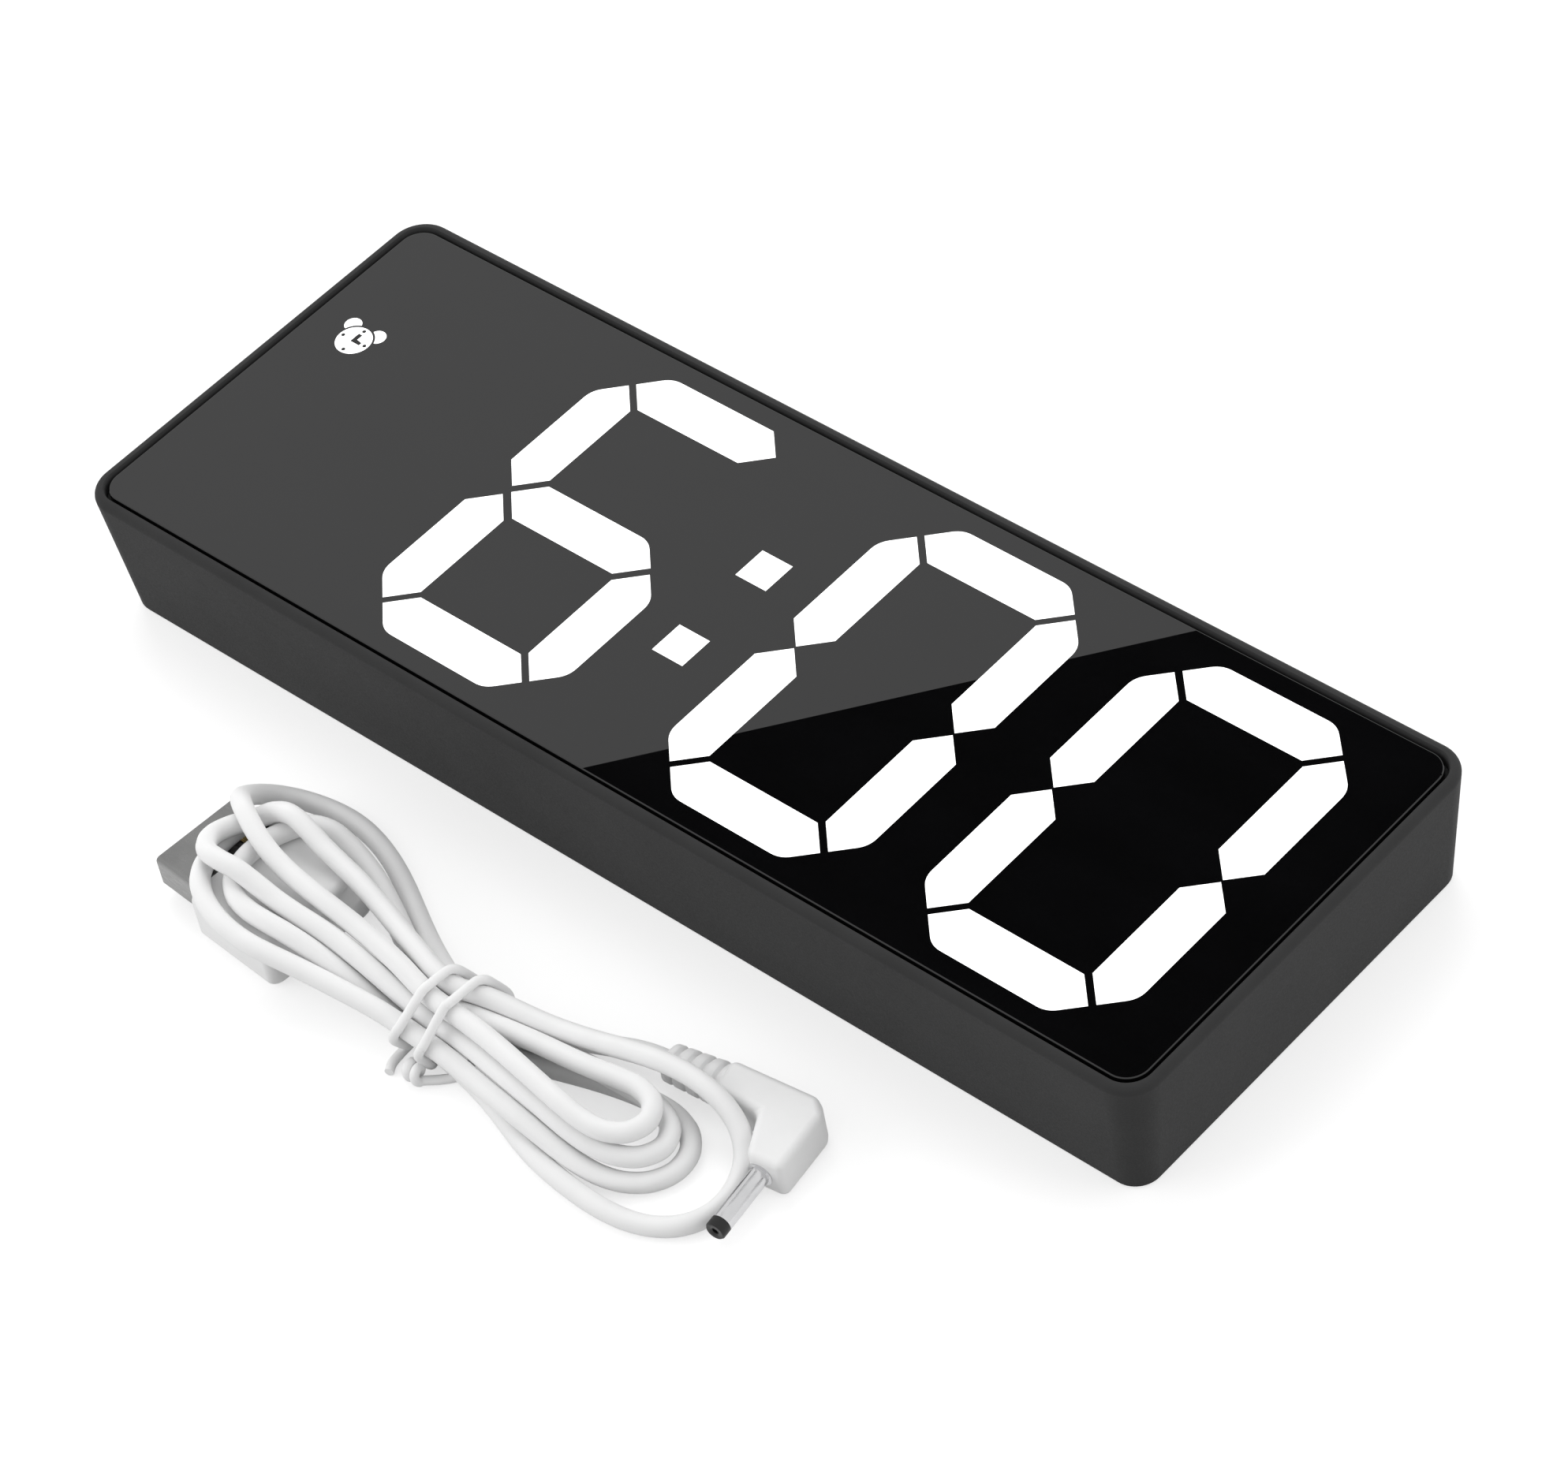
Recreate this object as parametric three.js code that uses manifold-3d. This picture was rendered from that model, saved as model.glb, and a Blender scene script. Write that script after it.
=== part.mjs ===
// A digital alarm clock with a tinted mirror face and white seven-segment figures, and its power cord:
// a tied hank between a flat plug and a right-angle barrel plug, lying beside the clock.
// Millimetres. +X runs along the row of figures, +Y to their tops and +Z out of the face. The back lies at z = 0.

import * as THREE from "three";
import { mergeVertices } from "three/addons/utils/BufferGeometryUtils.js";
import Module from "manifold-3d";

const wasm = await Module();
wasm.setup();

// Shared clearances and small values
const fitGap = 0.3; // between pieces that are cut by or pass through one another
const overrun = 1; // how far a cut runs past what it cuts
const weld = 0.0001; // vertices closer than this are one
const arcSteps = 3; // steps of a rounded shoulder
const cornerSteps = 5; // steps of a rounded corner seen from the front
const roundSides = 16; // sides of a small round piece

// Housing
const bodyLength = 160;
const bodyWidth = 58;
const bodyDepth = 18;
const endTaper = 2.2; // each end leans in by this much from the face to the back
const sideTaper = 1.2; // and each long side by this much
const wall = 1.8;
const frontCorner = 4.4;
const backCorner = 3.2;
const rimRound = 1;
const rimCrest = 0.25;
const rimSlope = 0.2; // how far the rim leans in over the depth of its slope
const rimSlopeDepth = 0.7;
const backChamfer = 0.4;

// Mirror panel and the ledge that carries it
const panelSink = 0.2;
const panelThick = 1.5;
const ledgeThick = 1.2;
const ledgeReach = 1.2;
const panelBevel = 0.3;

// Seven-segment figures: their places and widths are shares of the body's length
const digitWidth = bodyLength * 0.1844;
const hiddenDigitWidth = bodyLength * 0.169;
const hourX = bodyLength * -0.16;
const minuteTensX = bodyLength * 0.1196;
const minuteX = bodyLength * 0.3533;
const hiddenDigitX = bodyLength * -0.3838;
const figureMargin = 4.5; // from a figure's top or foot out to the body's long side
const digitHeight = bodyWidth - 2 * figureMargin;
const stroke = 6.2;
const tipGap = 0.64; // from a node of the figure to the tip of a segment
const litWaistGap = 0.82; // the same at the waist of a figure whose middle bar is lit
const darkWaistGap = 0.18; // and where the middle bar is dark
const darkBarGap = 1.2; // from the node to the tip of a dark middle bar
const shoulderRound = 1.3;
const colonX = bodyLength * -0.0216;
const colonRise = 7;
const colonSide = 4.6;
const iconX = bodyLength * -0.4413;
const iconY = 8.1;
const iconDial = 2.1;
const iconBell = 0.85;
const iconFoot = 0.5;
const iconBellAngle = 50; // degrees from the vertical
const iconHandDepth = 0.5;
const iconHandWidth = 0.4;
const guideGap = 0.25; // around a light guide in its well and its window

// Light box, guides and display board, stacked on the room behind the board; the box fills the depth left over
const rearRoom = bodyDepth * 0.45;
const boxInset = 0.35;
const webThick = 0.8;
const webInset = 0.6;
const darkTopDrop = 0.3; // a dark segment's guide stops this far under the mirror
const boardGap = 0.9; // from the guides' webs down to the board
const boardThick = 1.2;
const boardEdge = 2; // from the light box's long edges in to the board's
const chipSide = 2.2;
const chipTall = 0.6;

// Posts, pillars and screws
const postRadius = 2.5;
const shoulderRadius = 3.5;
const pillarWall = 1.3;
const counterRise = (digitHeight - stroke) / 4; // from a figure's middle to that of each of its counters
const screwHeadRadius = 1.8;
const screwHeadTall = 1;
const screwHeadSink = 0.2;
const screwRadius = 0.95;
const screwShort = 0.2; // its tip stops this far short of the board
const screwReach = rearRoom - screwShort;
const screwSlotWidth = 0.6;
const screwSlotDepth = 0.5;
const pilotDepth = 0.6; // the hole runs on past the screw

// Rear cover
const coverThick = 2;

// Coin cell, its holder and the battery door
const cellRadius = 10;
const cellTall = 3.2;
const cellBottom = 2.4;
const cellStep = 0.4;
const cellStepTall = 0.3;
const holderWall = 1.6;
const holderBottom = 2.2;
const contactTall = 0.4;
const contactWidth = 5;
const doorBottom = 0.3;
const doorThick = 1.6;
const doorOver = 0.7; // the door reaches past the holder at its free end
const barrelRadius = 1.2;
const barrelGap = 0.5; // between the hinge barrel and the holder
const trunnionRadius = 0.65;
const trunnionReach = 1.5;
const earWide = 2.6;
const earRise = 1.4;
const gripDepth = 0.7;
const gripWide = 9;
const gripLong = 2.4;
const gripInset = 1.6;

// Rear buttons and their switches
const buttonX = bodyLength / 5; // the middle one of three
const buttonPitch = 12.5;
const buttonInset = 16; // from the body's top side
const buttonY = bodyWidth / 2 - buttonInset;
const buttonRadius = 3;
const buttonTop = 0.3; // the cap stops this far inside the back
const flangeReach = 1.2;
const flangeThick = 0.8;
const stemRadius = 1.5;
const stemTall = 1;
const dishDepth = 1;
const dishReach = 2;
const plungerRadius = 1.4;
const plungerTall = 1.6;
const pressTravel = 0.5;
const switchSide = 6;
const switchStand = 0.6; // from the plunger's foot up to its switch
const switchSpare = 0.1; // the plunger's room past its travel

// Snooze bar in the top side
const snoozeLong = 39.4;
const snoozeBottom = bodyDepth * 0.2945;
const snoozeTop = bodyDepth / 2;
const snoozeOut = bodyWidth / 2;
const snoozeFlangeReach = 1.1;
const snoozeFlangeInset = 4.1;
const snoozeFlangeY = snoozeOut - snoozeFlangeInset;
const snoozeFlangeThick = 1;
const snoozePlungerLong = 3.5;
const snoozeSwitchDeep = 4;
const snoozeSwitchFoot = 1.95; // below the plunger's axis
const snoozePlungerRadius = 1.2;
const snoozePlungerDrop = 1.55; // its axis below the board

// Power jack, buzzer and controller
const jackX = minuteTensX;
const jackY = -counterRise;
const jackSide = 6.6;
const jackRise = 1.3; // through the board
const jackNose = 2.7;
const jackNoseBottom = 0.4;
const jackBore = 1.45;
const jackBoreDeep = 8.4;
const buzzerX = (minuteTensX + minuteX) / 2;
const buzzerInset = 17; // from the body's bottom side
const buzzerY = buzzerInset - bodyWidth / 2;
const buzzerRadius = 4.5;
const buzzerTall = 4.2;
const soundHole = 0.6;
const soundRing = 2.4;
const soundHoles = 6;
const controllerX = bodyLength / 80;
const controllerLong = 10;
const controllerWide = 7;
const controllerTall = 1.6;

// Cord and its hank
const cordRadius = 1.2;
const cordGap = 0.6; // between neighbouring turns
const layerGap = 1; // between the layers, which draw together where they slope
const hankLoops = 4;
const hankLayers = 2;
const waistX = 1;
const hankY = -55.7;
const hankLean = -1.6; // degrees about +Z
const leftApexX = -34.5;
const rightApexX = 41;
const leftLobeHalf = 9.4;
const rightLobeHalf = 8.3;
const waistFlat = 3.5; // half the length of the straight waist under the tie
const liftRun = 16.4; // from the waist to where the left lobes have their full height
const tieRadius = 0.5;
const tieGap = 0.4;
const tieWraps = 2;
const tiePitch = 1.6;
const runSteps = 3;
const lobeSteps = 6;
const hankSides = 6;
const tailSides = 8;
const tailSteps = 12;

// Flat plug at one end of the cord
const usbX = -18.5;
const usbY = -53.6;
const usbLean = -4; // degrees about +Z
const usbBodyLong = 12.5;
const usbBodyWide = 15.5;
const usbBodyTall = 7.6;
const usbBodyRound = 1.6;
const usbShellLong = 8.6;
const usbShellWide = 12;
const usbShellTall = 4.5;
const usbShellWall = 0.35;
const usbTongueWide = 10.7;
const usbTongueTall = 1.9;
const usbTongueSink = 0.6;
const usbHoleSide = 2.2;
const usbHoleX = 5.2; // from the plug's mouth to the middle of its latch holes
const usbHoleY = 2.9;

// Right-angle barrel plug at the other end
const plugX = 26.3;
const plugY = -44.4;
const plugLean = 8; // degrees about +Z
const reliefLong = 7.5;
const reliefTipRadius = 2.2;
const reliefRootRadius = 2.6;
const reliefRibs = 5;
const reliefRibDepth = 0.5;
const plugTall = 5.4;
const plugRound = 0.8;
const plugLong = 20.2; // from the cord to the body's far end
const plugHalf = 1.9; // half the body's width where the relief joins it
const plugNeckLong = 5.5;
const plugShoulder = 3; // from the plug's axis to where the body starts to widen
const plugNear = 8.3; // and to the near end that the barrel leaves
const plugNearWide = 5;
const plugCut = 1.8; // the bevel of its far right corner
const barrelInset = 3; // from the body's far end to the barrel's axis
const plugBarrelRadius = 1.2;
const plugBarrelLong = 7.4;
const plugBarrelBore = 0.4;
const barrelTipLong = 1.3;
const barrelBoreDeep = 6;

// Colours and surfaces
const surfaces = {
  housing: { color: 0x3b3b3d, roughness: 0.55, metalness: 0 },
  mirror: { color: 0x0b0b0d, roughness: 0.05, metalness: 0.2 },
  reflector: { color: 0xe8e8e4, roughness: 0.6, metalness: 0 },
  litGuide: { color: 0xffffff, roughness: 0.4, metalness: 0, emissive: 0xffffff, emissiveIntensity: 0.6 },
  darkGuide: { color: 0xd8dad8, roughness: 0.4, metalness: 0 },
  board: { color: 0x1d5a34, roughness: 0.5, metalness: 0 },
  steel: { color: 0xb9bbbe, roughness: 0.3, metalness: 1 },
  cell: { color: 0xc4c6c9, roughness: 0.25, metalness: 1 },
  blackPlastic: { color: 0x1c1c1e, roughness: 0.5, metalness: 0 },
  button: { color: 0x2c2c2e, roughness: 0.5, metalness: 0 },
  plunger: { color: 0xd9d4c8, roughness: 0.5, metalness: 0 },
  whiteCord: { color: 0xeeeeee, roughness: 0.5, metalness: 0 },
};

const degrees = Math.PI / 180;
const clock = new THREE.Group();

// A closed solid from a geometry, turned the right way out.
function solid(geometry) {
  const bare = geometry.clone();
  bare.deleteAttribute("normal");
  bare.deleteAttribute("uv");
  const merged = mergeVertices(bare, weld);
  const vertProperties = merged.attributes.position.array;
  const triVerts = new Uint32Array(merged.index.array);
  const made = new wasm.Manifold(new wasm.Mesh({ numProp: 3, vertProperties, triVerts }));
  if (made.volume() > 0) return made;
  return new wasm.Manifold(new wasm.Mesh({ numProp: 3, vertProperties, triVerts: triVerts.reverse() }));
}

// The geometry of a solid.
function geometryOf(made) {
  const mesh = made.getMesh();
  const geometry = new THREE.BufferGeometry();
  geometry.setAttribute("position", new THREE.BufferAttribute(mesh.vertProperties, 3));
  geometry.setIndex(new THREE.BufferAttribute(mesh.triVerts, 1));
  geometry.computeVertexNormals();
  return geometry;
}

// One named piece of the object.
function piece(name, made, surface, parent = clock) {
  const mesh = new THREE.Mesh(geometryOf(made), new THREE.MeshStandardMaterial(surfaces[surface]));
  mesh.name = name;
  parent.add(mesh);
  return mesh;
}

// A block between two corners.
function block(x0, x1, y0, y1, z0, z1) {
  const box = new THREE.BoxGeometry(x1 - x0, y1 - y0, z1 - z0);
  return solid(box.translate((x0 + x1) / 2, (y0 + y1) / 2, (z0 + z1) / 2));
}

// A round rod, or a cone where its end has another radius, between two points.
function rod(radius, from, to, endRadius = radius) {
  const along = to.clone().sub(from);
  const geometry = new THREE.CylinderGeometry(endRadius, radius, along.length(), roundSides);
  const turn = new THREE.Quaternion().setFromUnitVectors(new THREE.Vector3(0, 1, 0), along.normalize());
  geometry.applyQuaternion(turn);
  return solid(geometry.translate((from.x + to.x) / 2, (from.y + to.y) / 2, (from.z + to.z) / 2));
}

// A round rod standing along Z.
function upright(radius, x, y, z0, z1) {
  return rod(radius, new THREE.Vector3(x, y, z0), new THREE.Vector3(x, y, z1));
}

// A prism of an outline between two heights.
function prism(shape, z0, z1) {
  const settings = { depth: z1 - z0, bevelEnabled: false, curveSegments: arcSteps };
  return solid(new THREE.ExtrudeGeometry(shape, settings).translate(0, 0, z0));
}

// The points of a rounded rectangle, anticlockwise.
function roundedRing(halfX, halfY, radius, z) {
  const points = [];
  const signs = [[1, 1], [-1, 1], [-1, -1], [1, -1]];
  signs.forEach(([sx, sy], quarter) => {
    for (let step = 0; step <= cornerSteps; step += 1) {
      const angle = (quarter + step / cornerSteps) * Math.PI / 2;
      const x = sx * (halfX - radius) + radius * Math.cos(angle);
      const y = sy * (halfY - radius) + radius * Math.sin(angle);
      points.push(new THREE.Vector3(x, y, z));
    }
  });
  return points;
}

// A solid through a stack of rings of equally many points, closed by a fan at each end.
function loft(rings) {
  const positions = [];
  const add = (...points) => points.forEach((p) => positions.push(p.x, p.y, p.z));
  const middle = (ring) => {
    const sum = ring.reduce((total, p) => total.add(p), new THREE.Vector3());
    return sum.divideScalar(ring.length);
  };
  const first = rings[0];
  const last = rings[rings.length - 1];
  first.forEach((p, i) => add(middle(first), first[(i + 1) % first.length], p));
  last.forEach((p, i) => add(middle(last), p, last[(i + 1) % last.length]));
  for (let level = 1; level < rings.length; level += 1) {
    const low = rings[level - 1];
    const high = rings[level];
    low.forEach((p, i) => {
      const next = (i + 1) % low.length;
      add(p, low[next], high[next]);
      add(p, high[next], high[i]);
    });
  }
  const geometry = new THREE.BufferGeometry();
  geometry.setAttribute("position", new THREE.Float32BufferAttribute(positions, 3));
  return solid(geometry);
}

// A round tube through a list of points, its rings carried along without twist.
function wound(points, radius, sides) {
  const side = new THREE.Vector3(0, 0, 1);
  const rings = points.map((point, i) => {
    const before = points[Math.max(i - 1, 0)];
    const after = points[Math.min(i + 1, points.length - 1)];
    const along = after.clone().sub(before).normalize();
    side.sub(along.clone().multiplyScalar(side.dot(along))).normalize();
    const across = along.clone().cross(side);
    const ring = [];
    for (let k = 0; k < sides; k += 1) {
      const angle = (k / sides) * 2 * Math.PI;
      const out = side.clone().multiplyScalar(Math.cos(angle) * radius);
      ring.push(out.add(across.clone().multiplyScalar(Math.sin(angle) * radius)).add(point));
    }
    return ring;
  });
  return loft(rings);
}

// The housing's outer half sizes and corner radius at a height, brought in by an inset.
function bodyRing(z, inset) {
  const share = z / bodyDepth;
  const halfX = bodyLength / 2 - endTaper * (1 - share) - inset;
  const halfY = bodyWidth / 2 - sideTaper * (1 - share) - inset;
  const corner = backCorner + (frontCorner - backCorner) * share;
  return roundedRing(halfX, halfY, Math.max(corner - inset, backChamfer), z);
}

// Heights shared by the pieces: down from the face to the ledge, and up from the back to the light box
const panelTop = bodyDepth - panelSink;
const panelBottom = panelTop - panelThick;
const ledgeBottom = panelBottom - ledgeThick;
const boxTop = panelBottom;
const boardBottom = rearRoom;
const boardTop = boardBottom + boardThick;
const webBottom = boardTop + boardGap;
const boxBottom = webBottom + webThick;

// Sizes in plan shared by the pieces
const rimInset = rimRound + rimCrest;
const recessInset = rimInset + rimSlope;
const panelHalfX = bodyLength / 2 - recessInset - fitGap;
const panelHalfY = bodyWidth / 2 - recessInset - fitGap;
const ledgeHalfX = panelHalfX - ledgeReach;
const ledgeHalfY = panelHalfY - ledgeReach;
const boxHalfX = ledgeHalfX - boxInset;
const boxHalfY = ledgeHalfY - boxInset;
const boardHalfX = boxHalfX - boardEdge;
const boardHalfY = boxHalfY - boardEdge;
const panelCorner = frontCorner - recessInset;
const halfStroke = stroke / 2;

const figures = [
  {
    name: "hour_tens_guide", x: hiddenDigitX, width: hiddenDigitWidth,
    bars: "abcdeg", lit: "", rounded: "", waistGap: tipGap,
  },
  {
    name: "hour_guide", x: hourX, width: digitWidth,
    bars: "abcdefg", lit: "acdefg", rounded: "TL BL BR MR", waistGap: litWaistGap,
  },
  {
    name: "minute_tens_guide", x: minuteTensX, width: digitWidth,
    bars: "abcdefg", lit: "abcdef", rounded: "TL TR BL BR", waistGap: darkWaistGap,
  },
  {
    name: "minute_guide", x: minuteX, width: digitWidth,
    bars: "abcdefg", lit: "abcdef", rounded: "TL TR BL BR", waistGap: darkWaistGap,
  },
];

// The two nodes that each bar joins, and the side of it that faces out of the figure
const barEnds = {
  a: ["TL", "TR", 1],
  b: ["MR", "TR", -1],
  c: ["BR", "MR", -1],
  d: ["BL", "BR", -1],
  e: ["BL", "ML", 1],
  f: ["ML", "TL", 1],
  g: ["ML", "MR", 1],
};

// Where a node of a figure lies.
function nodePlace(figure, node) {
  const reachX = figure.width / 2 - halfStroke;
  const reachY = digitHeight / 2 - halfStroke;
  const up = { T: 1, M: 0, B: -1 }[node[0]];
  const right = { L: -1, R: 1 }[node[1]];
  return new THREE.Vector2(figure.x + right * reachX, up * reachY);
}

// How far a bar's tip stays from a node.
function tipAt(figure, bar, node) {
  if (node[0] !== "M") return tipGap;
  if (bar !== "g") return figure.waistGap;
  return figure.lit.length > 0 && !figure.lit.includes("g") ? darkBarGap : tipGap;
}

// The outline of one bar of a figure, grown by a clearance.
function barShape(figure, bar, grow) {
  const [fromNode, toNode, outer] = barEnds[bar];
  const from = nodePlace(figure, fromNode);
  const to = nodePlace(figure, toNode);
  const along = to.clone().sub(from).normalize();
  const across = new THREE.Vector2(-along.y, along.x);
  const half = halfStroke + grow;
  const spread = grow * Math.SQRT2;
  const startTip = tipAt(figure, bar, fromNode) - spread;
  const endTip = from.distanceTo(to) - tipAt(figure, bar, toNode) + spread;
  const place = (s, t) => from.clone().addScaledVector(along, s).addScaledVector(across, t);
  const isRounded = (node, side) => figure.rounded.includes(node) && side === outer;
  const corners = [
    { s: startTip, t: 0, round: false },
    { s: startTip + half, t: -half, round: isRounded(fromNode, -1) },
    { s: endTip - half, t: -half, round: isRounded(toNode, -1) },
    { s: endTip, t: 0, round: false },
    { s: endTip - half, t: half, round: isRounded(toNode, 1) },
    { s: startTip + half, t: half, round: isRounded(fromNode, 1) },
  ].map((corner) => ({ at: place(corner.s, corner.t), round: corner.round }));
  return roundedShape(corners, shoulderRound);
}

// A shape through corners, with a curve at each one marked round.
function roundedShape(corners, setBack) {
  const shape = new THREE.Shape();
  corners.forEach((corner, i) => {
    const before = corners[(i + corners.length - 1) % corners.length].at;
    const after = corners[(i + 1) % corners.length].at;
    const start = corner.at.clone();
    const end = corner.at.clone();
    if (corner.round) {
      start.add(before.clone().sub(corner.at).setLength(setBack));
      end.add(after.clone().sub(corner.at).setLength(setBack));
    }
    if (i === 0) shape.moveTo(start.x, start.y);
    else shape.lineTo(start.x, start.y);
    if (corner.round) shape.quadraticCurveTo(corner.at.x, corner.at.y, end.x, end.y);
  });
  shape.closePath();
  return shape;
}

// The alarm sign: a dial, two bells and two feet in one solid, grown by a clearance.
function alarmSign(z0, z1, grow) {
  let sign = upright(iconDial + grow, iconX, iconY, z0, z1);
  for (const side of [-1, 1]) {
    const bellTurn = side * iconBellAngle * degrees;
    const bellX = iconX + Math.sin(bellTurn) * (iconDial + iconBell / 2);
    const bellY = iconY + Math.cos(bellTurn) * (iconDial + iconBell / 2);
    sign = sign.add(upright(iconBell + grow, bellX, bellY, z0, z1));
    const footX = iconX + side * iconDial / Math.SQRT2;
    const footY = iconY - iconDial / Math.SQRT2 - iconFoot / 2;
    sign = sign.add(upright(iconFoot + grow, footX, footY, z0, z1));
  }
  return sign;
}

// A square dot of the colon, grown by a clearance.
function colonDot(side, z0, z1, grow) {
  const half = colonSide / 2 + grow;
  const y = side * colonRise;
  return block(colonX - half, colonX + half, y - half, y + half, z0, z1);
}

// Housing: a tapered tray open at the back, with a rim round the mirror and a ledge behind it
function frontHousing() {
  const rings = [bodyRing(0, backChamfer), bodyRing(backChamfer, 0)];
  for (let step = 0; step <= arcSteps; step += 1) {
    const angle = (step / arcSteps) * Math.PI / 2;
    const z = bodyDepth - rimRound + rimRound * Math.sin(angle);
    rings.push(bodyRing(z, rimRound * (1 - Math.cos(angle))));
  }
  const ringAt = (insetRing, z) => insetRing.map((p) => new THREE.Vector3(p.x, p.y, z));
  const cavity = loft([ringAt(bodyRing(0, wall), -overrun), bodyRing(0, wall), bodyRing(ledgeBottom, wall)]);
  const crest = bodyRing(bodyDepth, rimInset);
  const slopeFoot = roundedRing(
    bodyLength / 2 - recessInset,
    bodyWidth / 2 - recessInset,
    panelCorner + fitGap,
    bodyDepth - rimSlopeDepth,
  );
  const recess = loft([ringAt(slopeFoot, panelBottom), slopeFoot, crest, ringAt(crest, bodyDepth + overrun)]);
  const opening = loft([
    roundedRing(ledgeHalfX, ledgeHalfY, panelCorner, ledgeBottom - overrun),
    roundedRing(ledgeHalfX, ledgeHalfY, panelCorner, panelBottom + overrun),
  ]);
  const slotHalf = snoozeLong / 2 + fitGap;
  const slot = block(
    colonX - slotHalf, colonX + slotHalf,
    bodyWidth / 2 - sideTaper - wall - overrun, bodyWidth / 2 + overrun,
    snoozeBottom - fitGap, snoozeTop + fitGap,
  );
  return loft(rings).subtract(cavity).subtract(recess).subtract(opening).subtract(slot);
}

// Mirror panel: a bevelled plate with a window over each lit segment, dot and sign
function mirrorPanel() {
  let panel = loft([
    roundedRing(panelHalfX, panelHalfY, panelCorner, panelBottom),
    roundedRing(panelHalfX, panelHalfY, panelCorner, panelTop - panelBevel),
    roundedRing(panelHalfX - panelBevel, panelHalfY - panelBevel, panelCorner - panelBevel, panelTop),
  ]);
  const low = panelBottom - overrun;
  const high = panelTop + overrun;
  for (const figure of figures) {
    for (const bar of figure.lit) panel = panel.subtract(prism(barShape(figure, bar, guideGap), low, high));
  }
  for (const side of [-1, 1]) panel = panel.subtract(colonDot(side, low, high, guideGap));
  return panel.subtract(alarmSign(low, high, guideGap));
}

// Where the four posts stand: in the counters of the first and the last figure
const postPlaces = [hiddenDigitX, minuteX].flatMap((x) => [-counterRise, counterRise].map((y) => ({ x, y })));

// Light box: a reflector block with a well for every segment, standing on four posts
function lightBox() {
  let box = loft([
    roundedRing(boxHalfX, boxHalfY, panelCorner, boxBottom),
    roundedRing(boxHalfX, boxHalfY, panelCorner, boxTop),
  ]);
  const low = boxBottom - overrun;
  const high = boxTop + overrun;
  for (const figure of figures) {
    for (const bar of figure.bars) box = box.subtract(prism(barShape(figure, bar, guideGap), low, high));
  }
  for (const side of [-1, 1]) box = box.subtract(colonDot(side, low, high, guideGap));
  box = box.subtract(alarmSign(low, high, guideGap));
  for (const { x, y } of postPlaces) {
    box = box.add(upright(shoulderRadius, x, y, boardTop, boxBottom + overrun));
    box = box.add(upright(postRadius, x, y, coverThick, boxBottom + overrun));
    box = box.subtract(upright(screwRadius + fitGap, x, y, coverThick - overrun, screwReach + pilotDepth));
  }
  return box;
}

// Guide of one figure: a ladder-shaped web with an island of clear plastic in each well
function figureGuide(figure) {
  const halfX = figure.width / 2 - webInset;
  const halfY = digitHeight / 2 - webInset;
  const inner = stroke - 2 * webInset;
  let guide = block(figure.x - halfX, figure.x + halfX, -halfY, halfY, webBottom, boxBottom);
  for (const side of [-1, 1]) {
    const edges = [side * (halfStroke - webInset), side * (halfY - inner)];
    const leftEdge = side > 0 && !figure.bars.includes("f") ? -overrun : inner;
    const counter = block(
      figure.x - halfX + leftEdge, figure.x + halfX - inner,
      Math.min(...edges), Math.max(...edges),
      webBottom - overrun, boxBottom + overrun,
    );
    guide = guide.subtract(counter);
  }
  for (const bar of figure.bars) {
    const top = figure.lit.includes(bar) ? panelTop : panelBottom - darkTopDrop;
    guide = guide.add(prism(barShape(figure, bar, 0), webBottom, top));
  }
  return guide;
}

// Guide of the colon: two dots joined by a narrow web
function colonGuide() {
  const half = colonSide / 2 - webInset;
  let guide = block(colonX - half, colonX + half, -colonRise, colonRise, webBottom, boxBottom);
  for (const side of [-1, 1]) guide = guide.add(colonDot(side, webBottom, panelTop, 0));
  return guide;
}

// Guide of the alarm sign, with two hands sunk in its face
function signGuide() {
  const hand = (dx, dy) => {
    const half = iconHandWidth / 2;
    const xs = [iconX, iconX + dx];
    const ys = [iconY, iconY + dy];
    return block(
      Math.min(...xs) - half, Math.max(...xs) + half,
      Math.min(...ys) - half, Math.max(...ys) + half,
      panelTop - iconHandDepth, panelTop + overrun,
    );
  };
  const reach = iconDial / 2;
  return alarmSign(webBottom, panelTop, 0).subtract(hand(0, reach)).subtract(hand(reach, 0));
}

// Display board: a plate with a light chip under every segment, dot and sign, and holes for posts and jack
function displayBoard() {
  let board = block(-boardHalfX, boardHalfX, -boardHalfY, boardHalfY, boardBottom, boardTop);
  const chipAt = (x, y) => {
    const half = chipSide / 2;
    board = board.add(block(x - half, x + half, y - half, y + half, boardBottom, boardTop + chipTall));
  };
  for (const figure of figures) {
    for (const bar of figure.bars) {
      const [fromNode, toNode] = barEnds[bar];
      const middle = nodePlace(figure, fromNode).add(nodePlace(figure, toNode)).divideScalar(2);
      const inset = Math.max(Math.abs(middle.y) + chipSide / 2 + fitGap - boardHalfY, 0);
      chipAt(middle.x, middle.y - Math.sign(middle.y) * inset);
    }
  }
  for (const side of [-1, 1]) chipAt(colonX, side * colonRise);
  chipAt(iconX, iconY);
  for (const { x, y } of postPlaces) {
    board = board.subtract(upright(postRadius + fitGap, x, y, boardBottom - overrun, boardTop + overrun));
  }
  const half = jackSide / 2 + fitGap;
  const [low, high] = [boardBottom - overrun, boardTop + overrun];
  return board.subtract(block(jackX - half, jackX + half, jackY - half, jackY + half, low, high));
}

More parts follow.
